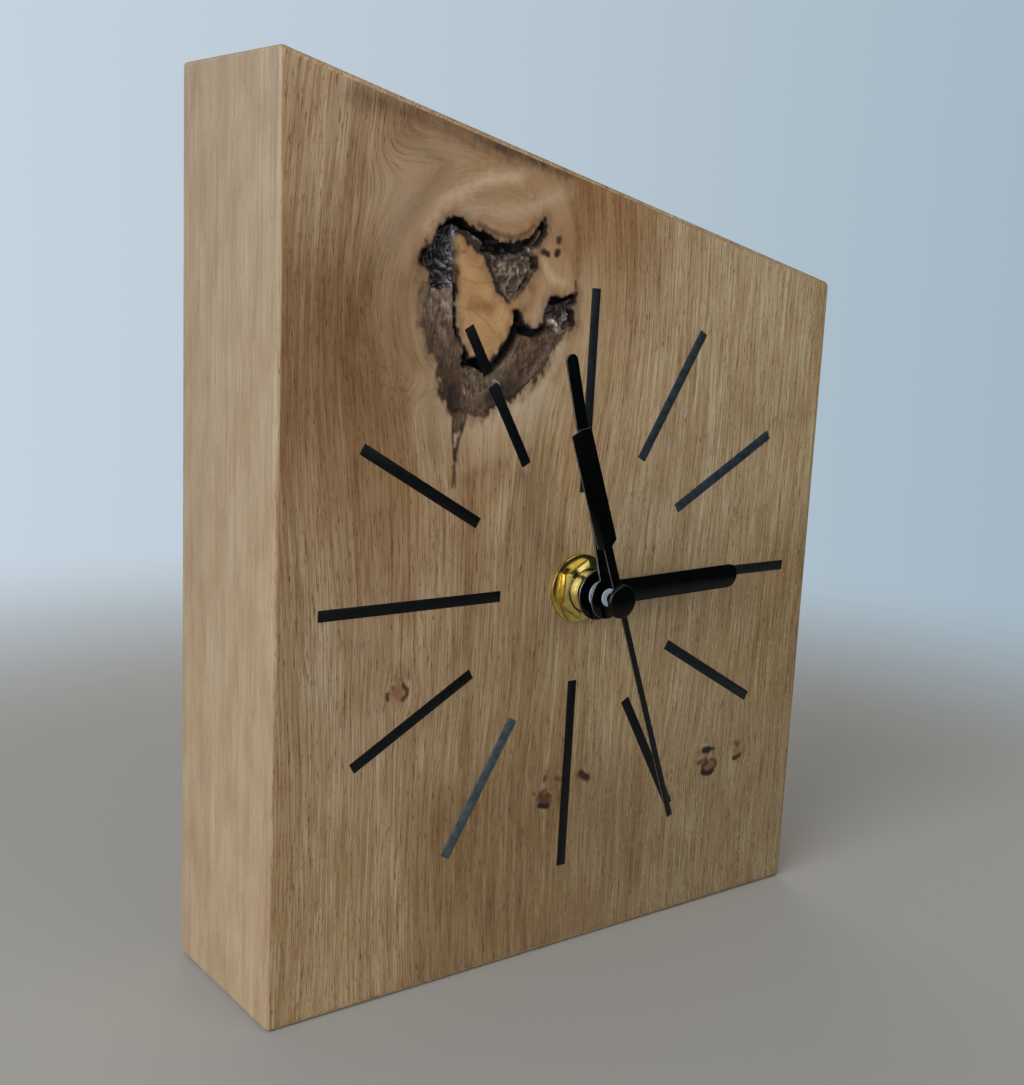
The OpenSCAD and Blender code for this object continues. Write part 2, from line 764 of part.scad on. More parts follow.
module motion_wheel() {
    color("#e4dfce") on_axis(motion_at) difference() {
        union() {
            toothed(hour_module, motion_pinion_n, motion_dir + 180, hour_y, motion_y - hour_y);
            toothed(
                motion_module, motion_wheel_n, gap_to(motion_dir + 180, motion_wheel_n), motion_y, wheel_t
            );
            rod(pivot_r, movement_y + case_wall - pivot_l, hour_y);
            rod(motion_hub_r, motion_y, centre_y - end_gap);
        }
        rod(set_shaft_r + press_gap, motion_y, centre_y + 1);
    }
}

module setting_knob() {
    color("#2d3034") on_axis(motion_at) {
        rod(set_shaft_r, motion_y, knob_y + knob_t - dish_depth);
        difference() {
            rod(knob_r, knob_y, knob_y + knob_t);
            for (k = [0:knob_grooves - 1])
                rotate([0, k * 360 / knob_grooves, 0])
                    translate([knob_r, 0, 0]) rod(groove_r, knob_y - 1, knob_y + knob_t + 1);
            // Shallow dish in the knob's back
            rod(knob_r - dish_rim, knob_y + knob_t - dish_depth, knob_y + knob_t + 1);
        }
    }
}

module third_wheel() {
    color("#e4dfce") on_axis(third_at) {
        rod(pivot_r, movement_y + case_wall - pivot_l, plate_y + pivot_l);
        rod(hub_r, third_pinion_y + wheel_t + pinion_extra, third_y);
        toothed(centre_module, third_pinion_n, third_dir + 180, third_pinion_y, wheel_t + pinion_extra);
        toothed(third_module, third_wheel_n, gap_to(third_dir + 180, third_wheel_n), third_y, wheel_t);
    }
}

module second_wheel() {
    color("#e4dfce") on_axis() difference() {
        union() {
            toothed(third_module, second_pinion_n, third_dir, second_pinion_y, wheel_t + pinion_extra);
            rod(hub_r, second_pinion_y + wheel_t + pinion_extra, second_y);
            toothed(
                second_module, second_wheel_n, gap_to(intermediate_dir, second_wheel_n), second_y, wheel_t
            );
        }
        rod(second_arbor_r + press_gap, second_pinion_y - 1, second_y + wheel_t + 1);
    }
}

module second_arbor() {
    color("#b9bdc0") on_axis() rod(second_arbor_r, second_front + second_t / 2, boss_y + pivot_l);
}

module intermediate_wheel() {
    color("#e4dfce") on_axis(intermediate_at) {
        rod(pivot_r, plate_back - pivot_l, boss_y + pivot_l);
        toothed(
            second_module, intermediate_pinion_n, intermediate_dir + 180,
            intermediate_pinion_y, intermediate_y - intermediate_pinion_y
        );
        toothed(
            rotor_module, intermediate_wheel_n, gap_to(rotor_dir, intermediate_wheel_n),
            intermediate_y, wheel_t
        );
    }
}

module rotor_magnet() {
    color("#6d7073") on_axis(rotor_at) difference() {
        rod(magnet_r, magnet_y, magnet_y + magnet_t);
        rod(hub_r + press_gap, magnet_y - 1, magnet_y + magnet_t + 1);
    }
}

module rotor_pinion() {
    color("#e4dfce") on_axis(rotor_at) {
        rod(pivot_r, plate_back - pivot_l, boss_y + pivot_l);
        rod(hub_r, magnet_y, magnet_y + magnet_t);
        toothed(
            rotor_module, rotor_pinion_n, rotor_dir + 180, rotor_pinion_y, train_end - rotor_pinion_y
        );
    }
}

// Distance from the hand axis to the middle of a stator leg
function leg_x() = coil_l / 2 + flange_t + seat_gap + stator_w / 2;

module stator() {
    hole_r = magnet_r + air_gap;
    reach = leg_x() + stator_w / 2;
    low = rotor_at[1] - stator_w / 3;
    color("#8d9296") on_axis() slab(plate_back, stator_t) difference() {
        union() {
            translate([-reach, low]) square([2 * reach, stator_w]);
            translate(rotor_at) circle(hole_r + ring_w);
            for (x = [-leg_x(), leg_x()])
                translate([x - stator_w / 2, low]) square([stator_w, coil_z + stator_w / 2 - low]);
        }
        translate(rotor_at) circle(hole_r);
    }
}

module coil_core() {
    reach = leg_x() + stator_w / 2;
    color("#8d9296") on_axis() slab(core_y, stator_t) {
        translate([-reach, coil_z - core_w / 2]) square([2 * reach, core_w]);
        for (x = [-leg_x(), leg_x()])
            translate([x - stator_w / 2, coil_z - stator_w / 2]) square([stator_w, stator_w]);
    }
}

// Round bar along X through the coil
module coil_rod(r, x0, x1) {
    translate([x0, core_y + stator_t / 2, coil_z]) rotate([0, 90, 0]) cylinder(r = r, h = x1 - x0);
}

module coil_bobbin() {
    end = coil_l / 2;
    color("#2f6f52") on_axis() difference() {
        union() {
            coil_rod(bobbin_r, -end, end);
            for (x = [-end - flange_t, end])
                coil_rod(coil_r, x, x + flange_t);
        }
        slab(core_y - press_gap, stator_t + 2 * press_gap)
            translate([-2 * end, coil_z - core_w / 2 - press_gap]) square([4 * end, core_w + 2 * press_gap]);
    }
}

module coil_winding() {
    end = coil_l / 2 - press_gap;
    color("#b4602c") on_axis() difference() {
        coil_rod(coil_r - wire_below, -end, end);
        coil_rod(bobbin_r + press_gap, -2 * end, 2 * end);
    }
}

module circuit_board() {
    color("#2e6a48") on_axis() slab(board_y, board_t) difference() {
        translate(board_low()) square([board_w, board_h]);
        // Clearance round the second wheel and the stator
        circle(tip_r(second_module, second_wheel_n) + 2 * end_gap);
        translate(rotor_at) circle(magnet_r + air_gap + ring_w + end_gap);
    }
}

module quartz_crystal() {
    low = board_low();
    color("#c2c6c8") on_axis()
        translate([low[0] + pad_edge + crystal_r, board_y + board_t + crystal_r, low[1] + board_h / 2])
            cylinder(r = crystal_r, h = crystal_l);
}

module chip_drop() {
    low = board_low();
    color("#17181a") on_axis([low[0] + board_w / 2, low[1] + pad_edge + drop_r]) turned(board_y + board_t, [
        for (a = [0:15:90]) drop_r * [sin(a), 0] + drop_h * [0, cos(a)],
        [0, 0]
    ]);
}

// Plate of a contact at the end of the battery bay, with its inner face towards the cell
module contact_plate(x) {
    translate([x, cell_y - contact_w / 2, bay_z - contact_w / 2]) cube([contact_t, contact_w, contact_w]);
}

// Upright strip of a contact, from its plate through the slot in the bay's wall up to height top
module contact_strip(x, top) {
    translate([x, plate_back + seat_gap, bay_z]) cube([contact_t, strip_w, top - bay_z]);
}

module positive_contact() {
    end = bay_w / 2;
    run_z = seat_gap - room_below;
    color("#b6b9b4") on_axis() {
        contact_plate(end - contact_t);
        // Dimple against the button
        translate([end - contact_room + end_gap, cell_y, bay_z]) rotate([0, 90, 0])
            cylinder(r = dimple_r, h = contact_room - end_gap - contact_t / 2);
        contact_strip(end - contact_t, run_z + contact_t);
        // Run along the bay's wall to the circuit board
        translate([board_low()[0] + pad_edge, plate_back + seat_gap, run_z])
            cube([end - board_low()[0] - pad_edge, strip_w, contact_t]);
    }
}

module negative_contact() {
    end = bay_w / 2;
    bow = contact_room - end_gap;
    foot = contact_w / 2 - contact_t;
    crown = contact_w / 6;
    color("#b6b9b4") on_axis() {
        contact_plate(-end);
        // Bowed tongue that presses on the cell
        translate([-end, cell_y, bay_z - contact_w / 4]) linear_extrude(contact_w / 2) polygon([
            [0, -foot], [bow, -crown], [bow, crown], [0, foot],
            [0, foot - 2 * contact_t], [bow - contact_t, crown - contact_t / 2],
            [bow - contact_t, contact_t / 2 - crown], [0, 2 * contact_t - foot]
        ]);
        contact_strip(-end, board_low()[1] + pad_edge);
    }
}

module battery_cell() {
    start = -bay_w / 2 + contact_room;
    color("#3b5f7d") on_axis() translate([start, cell_y, bay_z]) rotate([0, 90, 0]) {
        cylinder(r = cell_r, h = cell_l);
        cylinder(r = button_r, h = cell_l + button_l);
    }
}

// Blade with a round end, from the axis to radius l
module blade(w, l) {
    translate([-w / 2, 0]) square([w, l - w / 2]);
    translate([0, l - w / 2]) circle(w / 2);
}

module hour_hand() {
    color("#101214") on_axis() pointing(hour_angle) difference() {
        union() {
            slab(hour_front, hand_t) {
                circle(hour_eye_r);
                blade(hour_w, hour_l);
            }
            rod(hour_tube_r + collar_wall, hour_front, hour_front + hand_t + collar_l);
        }
        rod(hour_tube_r + press_gap, hour_front - 1, face_y);
    }
}

module minute_hand() {
    color("#101214") on_axis() pointing(minute_angle) difference() {
        union() {
            slab(minute_front, hand_t) {
                circle(minute_eye_r);
                blade(minute_w, minute_l);
            }
            rod(minute_arbor_r + collar_wall, minute_front, minute_front + hand_t + collar_l);
        }
        rod(minute_arbor_r + press_gap, minute_front - 1, hour_front);
    }
}

// Outline of the second hand: a needle up, and a neck and counterweight down
module second_outline() {
    shoulder = (weight_w - neck_w) / 2;
    translate([-needle_w / 2, 0]) square([needle_w, needle_l]);
    circle(second_tube_r + second_eye_w);
    translate([-neck_w / 2, -weight_in_r - 1]) square([neck_w, weight_in_r + 1]);
    polygon([
        [-neck_w / 2, -weight_in_r], [neck_w / 2, -weight_in_r], [weight_w / 2, -weight_in_r - shoulder],
        [weight_w / 2, weight_point - weight_out_r], [0, -weight_out_r],
        [-weight_w / 2, weight_point - weight_out_r],
        [-weight_w / 2, -weight_in_r - shoulder]
    ]);
}

module second_hand() {
    color("#101214") on_axis() pointing(second_angle) difference() {
        union() {
            slab(second_front, second_t) second_outline();
            rod(second_tube_r, second_front, minute_front - minute_arbor_proud - 2 * end_gap);
        }
        rod(second_arbor_r + press_gap, second_front + second_t / 2, minute_front);
    }
}

module second_cap() {
    color("#0c0d0e") on_axis() pointing(second_angle) turned(second_front - cap_h, concat(
        [[0, 0]],
        [
            for (a = [0:15:90])
                [cap_r - cap_round, cap_round + cap_dome] + cap_round * [sin(a), -cos(a)]
        ],
        [[cap_r, cap_h], [0, cap_h]]
    ));
}

oak_block();
knot_bark();
for (k = [1:12])
    hour_mark(k);
brass_washer();
hex_nut();
threaded_bush();
rubber_gasket();
movement_case();
rear_cover();
train_plate();
hour_hand();
hour_wheel();
minute_hand();
minute_arbor();
motion_wheel();
setting_knob();
second_hand();
second_cap();
second_arbor();
second_wheel();
centre_wheel();
third_wheel();
intermediate_wheel();
rotor_magnet();
rotor_pinion();
stator();
coil_core();
coil_bobbin();
coil_winding();
circuit_board();
quartz_crystal();
chip_drop();
positive_contact();
negative_contact();
battery_cell();
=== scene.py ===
import math

import bpy
import numpy as np
from mathutils import Matrix, Vector, noise


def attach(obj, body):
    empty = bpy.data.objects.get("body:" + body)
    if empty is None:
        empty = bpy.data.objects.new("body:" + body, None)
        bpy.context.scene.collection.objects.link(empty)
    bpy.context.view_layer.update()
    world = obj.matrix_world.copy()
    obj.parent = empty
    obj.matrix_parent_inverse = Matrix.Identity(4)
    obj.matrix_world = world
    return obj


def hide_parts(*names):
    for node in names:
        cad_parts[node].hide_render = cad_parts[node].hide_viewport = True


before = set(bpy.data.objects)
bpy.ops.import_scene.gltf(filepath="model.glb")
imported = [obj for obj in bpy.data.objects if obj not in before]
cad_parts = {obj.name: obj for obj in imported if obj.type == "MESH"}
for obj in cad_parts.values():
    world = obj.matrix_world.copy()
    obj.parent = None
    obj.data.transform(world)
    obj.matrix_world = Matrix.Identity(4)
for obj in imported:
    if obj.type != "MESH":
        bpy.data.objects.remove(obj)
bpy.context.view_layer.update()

# Oak block: one piece of European oak, sawn and planed square with a sloping top, its long edges eased
# with paper. Twelve grooves and a bore are cut in its face, a recess for the movement is routed into its
# back, and an open knot at the upper left is left as it grew.
mm = 0.001
block_w = 130
block_d = 36.3
left_h = 166.5
right_h = 133.7
arris = 1.0
face_y = -block_d / 2
back_y = block_d / 2
dial = Vector((0.4, 0, 74))
dial_turn = 0.5
mark_w = 2
mark_outer = 56.8
short_mark = 28.6
long_mark = 38.2
mark_break = (45, 47.4)
groove_depth = 2
glue_gap = 0.05
bore_r = 4.3
bore_y, bore_l = -14, 20
recess_x = (-29.6, 30.4)
recess_z = (44.17, 104)
recess_floor = face_y + 9
recess_corner = 4
hollow_depth = 4

# Outline of the hollow in the knot, in mm from the block's left edge and its base
hollow = [
    (33.6, 142.2), (31.5, 141), (30, 139.3), (28.8, 137), (26.8, 135.8), (26.6, 134.3), (28, 133.3),
    (28.8, 132), (28.2, 129.5), (27.6, 126.5), (28.2, 123.8), (28.8, 120.5), (30.8, 118.5), (31.8, 115.5),
    (32.8, 111.5), (34.5, 109.2), (37.5, 109), (39.5, 107.8), (41.5, 108.5), (45.5, 110.6), (48.5, 111.6),
    (50, 113), (52.5, 114.8), (54, 116.8), (55.8, 118.8), (56.6, 121.6), (59, 122.6), (60.8, 124),
    (60.4, 126.5), (60.9, 129.8), (59.6, 129.3), (57.5, 128.9), (55.2, 129), (54, 127), (53.8, 124.5),
    (52.4, 123.2), (50.5, 123.2), (49, 124.5), (48, 126.6), (47.2, 126.4), (46.8, 123.8), (45.4, 121.2),
    (43.8, 118.6), (42.3, 117.4), (40.6, 116.9), (39.2, 118), (37.6, 117.9), (36.6, 119.6), (35.2, 121),
    (34.4, 124), (34, 127.5), (34.2, 131), (33.8, 134.5), (33.7, 139.4), (35.6, 139), (38, 137),
    (40.3, 135.4), (42.2, 132.4), (43.4, 129.8), (46.2, 127.9), (47.8, 129.6), (49.8, 131.6), (50.4, 133.6),
    (51.8, 134.2), (50.6, 137.2), (52, 138.4), (53.3, 140.6), (52.8, 142.8), (51.4, 140.8), (49.6, 139.2),
    (46.5, 138), (43, 138.2), (39.5, 139.8), (36.6, 140.6), (35, 142),
]

# Pin knots, in mm from the left edge and the base, each with its radius
pin_knots = [
    (24.6, 58.7, 2.0), (59.8, 32.0, 1.7), (63.2, 36.2, 1.2), (64.2, 31.9, 0.9), (69.6, 35.2, 1.3),
    (103.5, 35.2, 1.5), (103.6, 30.9, 2.1), (113.0, 32.4, 2.0),
]


def reach(x, z, points, closed):
    """Distance from each place to a line through the points, less than nothing inside a closed one, and
    the nearest point of the line."""
    ends = points[1:] + points[:1] if closed else points[1:]
    best = np.full(x.shape, 1e9)
    near_x, near_z = x.copy(), z.copy()
    inside = np.zeros(x.shape, bool)
    for (x0, z0), (x1, z1) in zip(points, ends):
        run_x, run_z = x1 - x0, z1 - z0
        share = np.clip(((x - x0) * run_x + (z - z0) * run_z) / (run_x**2 + run_z**2 + 1e-9), 0, 1)
        at_x, at_z = x0 + share * run_x, z0 + share * run_z
        far = np.hypot(x - at_x, z - at_z)
        closer = far < best
        best = np.where(closer, far, best)
        near_x, near_z = np.where(closer, at_x, near_x), np.where(closer, at_z, near_z)
        if closed and z0 != z1:
            inside ^= ((z0 > z) != (z1 > z)) & (x < run_x * (z - z0) / run_z + x0)
    return np.where(inside, -best, best), near_x, near_z


def ramp(value, low, high):
    """Smooth step from 0 at low to 1 at high."""
    share = np.clip((value - low) / (high - low), 0, 1)
    return share * share * (3 - 2 * share)


def lumps(x, z, size_x, size_z, seed):
    """Smooth noise from about -1 to 1 with lumps of the given size in mm."""
    return np.array([noise.noise(Vector((a / size_x, b / size_z, seed))) for a, b in zip(x, z)])


# The torn edge of the hollow, with a point about every half millimetre
torn = []
torn_step, tear, tear_size = 0.5, 0.5, 0.9
for (x0, z0), (x1, z1) in zip(hollow, hollow[1:] + hollow[:1]):
    steps = max(1, round(math.hypot(x1 - x0, z1 - z0) / torn_step))
    for i in range(steps):
        x, z = x0 + (x1 - x0) * i / steps, z0 + (z1 - z0) * i / steps
        x += tear * noise.noise(Vector((x / tear_size, z / tear_size, 3.3)))
        z += tear * noise.noise(Vector((x / tear_size, z / tear_size, 8.8)))
        torn.append((x, z))


def places(piece):
    """The vertices of a piece in mm, as an array of rows."""
    flat = np.empty(len(piece.data.vertices) * 3, np.float32)
    piece.data.vertices.foreach_get("co", flat)
    return flat.reshape(-1, 3).astype(float) / mm


def put(piece, rows):
    """Moves the vertices of a piece to the given places in mm."""
    piece.data.vertices.foreach_set("co", (rows * mm).astype(np.float32).ravel())
    piece.data.update()


def edit(piece, kind, chosen):
    """Opens a piece for editing with only those of its faces, edges or corners selected whose middle in
    mm, and for a face its normal, passes the test."""
    if bpy.context.mode != "OBJECT":
        bpy.ops.object.mode_set(mode="OBJECT")
    bpy.ops.object.select_all(action="DESELECT")
    piece.select_set(True)
    bpy.context.view_layer.objects.active = piece
    bpy.ops.object.mode_set(mode="EDIT")
    bpy.ops.mesh.select_mode(type=kind)
    bpy.ops.mesh.select_all(action="DESELECT")
    bpy.ops.object.mode_set(mode="OBJECT")
    data = piece.data
    if kind == "FACE":
        for face in data.polygons:
            face.select = chosen(face.center / mm, face.normal)
    elif kind == "EDGE":
        for edge in data.edges:
            a, b = (data.vertices[i].co / mm for i in edge.vertices)
            edge.select = chosen((a + b) / 2, b - a)
    else:
        for corner in data.vertices:
            corner.select = chosen(corner.co / mm, corner.normal)
    bpy.ops.object.mode_set(mode="EDIT")


def finish_edit(piece, angle=30):
    """Closes the editing of a piece, settles its place into its mesh and smooths its shallow edges."""
    if bpy.context.mode != "OBJECT":
        bpy.ops.object.mode_set(mode="OBJECT")
    bpy.ops.object.select_all(action="DESELECT")
    piece.select_set(True)
    bpy.context.view_layer.objects.active = piece
    bpy.ops.object.transform_apply(location=True, rotation=True, scale=True)
    bpy.ops.object.shade_smooth_by_angle(angle=math.radians(angle))


def brick(name, low, high):
    """A box between two corners in mm."""
    middle = (Vector(low) + Vector(high)) / 2
    bpy.ops.object.select_all(action="DESELECT")
    bpy.ops.mesh.primitive_cube_add(size=1, location=middle * mm, scale=(Vector(high) - Vector(low)) * mm)
    piece = bpy.context.active_object
    piece.name = piece.data.name = name
    bpy.ops.object.transform_apply(location=True, rotation=True, scale=True)
    return piece


def cut(piece, cutter, operation="DIFFERENCE"):
    """Takes a cutter out of a piece, or keeps only what the two share, and removes the cutter."""
    bpy.context.view_layer.objects.active = piece
    modifier = piece.modifiers.new("cut", "BOOLEAN")
    modifier.operation = operation
    modifier.solver = "EXACT"
    modifier.object = cutter
    bpy.ops.object.modifier_apply(modifier=modifier.name)
    bpy.data.objects.remove(cutter)


def joined(pieces):
    """Joins the pieces into the first of them."""
    bpy.ops.object.select_all(action="DESELECT")
    for piece in pieces:
        piece.select_set(True)
    bpy.context.view_layer.objects.active = pieces[0]
    if len(pieces) > 1:
        bpy.ops.object.join()
    return pieces[0]


def turned_about_dial(piece, degrees):
    """Turns a piece clockwise about the hand axis, as seen from the front."""
    about = Matrix.Translation(dial * mm)
    piece.data.transform(about @ Matrix.Rotation(math.radians(degrees), 4, "Y") @ about.inverted())


def stretches_of(hour):
    """Inner and outer end of each stretch of a mark, in mm from the hand axis."""
    inner = mark_outer - (long_mark if hour % 3 == 0 else short_mark)
    if hour == 11:
        return [(inner, mark_break[0]), (mark_break[1], mark_outer)]
    return [(inner, mark_outer)]


block = brick("oak_block_sawn", (-block_w / 2, face_y, 0), (block_w / 2, back_y, left_h))
edit(block, "VERT", lambda at, normal: at.x > 0 and at.z > 1)
bpy.ops.transform.translate(value=(0, 0, (right_h - left_h) * mm))
bpy.ops.mesh.select_all(action="SELECT")
bpy.ops.mesh.bevel(offset=arris * mm, offset_type="OFFSET", segments=4, affect="EDGES")

# The face is divided finely enough for its painted growth marks, and more so round the knots
edit(block, "FACE", lambda at, normal: normal.y < -0.999 and at.y < face_y + 0.01)
bpy.ops.mesh.subdivide(number_cuts=99)
fine_boxes = [(24, 105, 64, 146), (31, 91, 41, 105), (28, 146, 62, 157)]


def near_knot(at, normal):
    """Whether a face of the front lies in one of the fine boxes or round a pin knot."""
    x, z = at.x + block_w / 2, at.z
    if normal.y > -0.999 or at.y > face_y + 0.01:
        return False
    if any(x0 < x < x1 and z0 < z < z1 for x0, z0, x1, z1 in fine_boxes):
        return True
    return any(math.hypot(x - a, z - b) < 2 * r + 1.2 for a, b, r in pin_knots)


edit(block, "FACE", near_knot)
bpy.ops.mesh.subdivide(number_cuts=5)
bpy.ops.object.mode_set(mode="OBJECT")

# The hollow: points near its torn edge are drawn onto it, and those inside go to its floor
drawn_in = 0.13
rows = places(block)
on_face = rows[:, 1] < face_y + 0.001
x, z = rows[:, 0] + block_w / 2, rows[:, 2]
inside, near_x, near_z = reach(x, z, torn, True)
on_line = on_face & (np.abs(inside) < drawn_in)
rows[on_line, 0] = near_x[on_line] - block_w / 2
rows[on_line, 2] = near_z[on_line]
deep = on_face & (inside < -drawn_in)
rows[deep, 1] = face_y + hollow_depth
put(block, rows)

# The bore, then the grooves for the marks and the recess in one go
bpy.ops.object.select_all(action="DESELECT")
bpy.ops.mesh.primitive_cylinder_add(
    vertices=64, radius=bore_r * mm, depth=bore_l * mm, rotation=(math.pi / 2, 0, 0),
    location=(dial.x * mm, bore_y * mm, dial.z * mm),
)
bore = bpy.context.active_object
bpy.ops.object.transform_apply(location=True, rotation=True, scale=True)
cut(block, bore)
cutters = []
for hour in range(1, 13):
    for low, high in stretches_of(hour):
        groove = brick(
            "groove", (dial.x - mark_w / 2 - glue_gap, face_y - 1, dial.z + low - glue_gap),
            (dial.x + mark_w / 2 + glue_gap, face_y + groove_depth, dial.z + high + glue_gap),
        )
        turned_about_dial(groove, 30 * hour + dial_turn)
        cutters.append(groove)
recess = brick(
    "recess", (recess_x[0], recess_floor, recess_z[0]), (recess_x[1], back_y + 1, recess_z[1]))
edit(recess, "EDGE", lambda at, along: abs(along.y) > 1)
bpy.ops.mesh.bevel(offset=recess_corner * mm, offset_type="OFFSET", segments=8, affect="EDGES")
bpy.ops.object.mode_set(mode="OBJECT")
cut(block, joined(cutters + [recess]))
finish_edit(block)

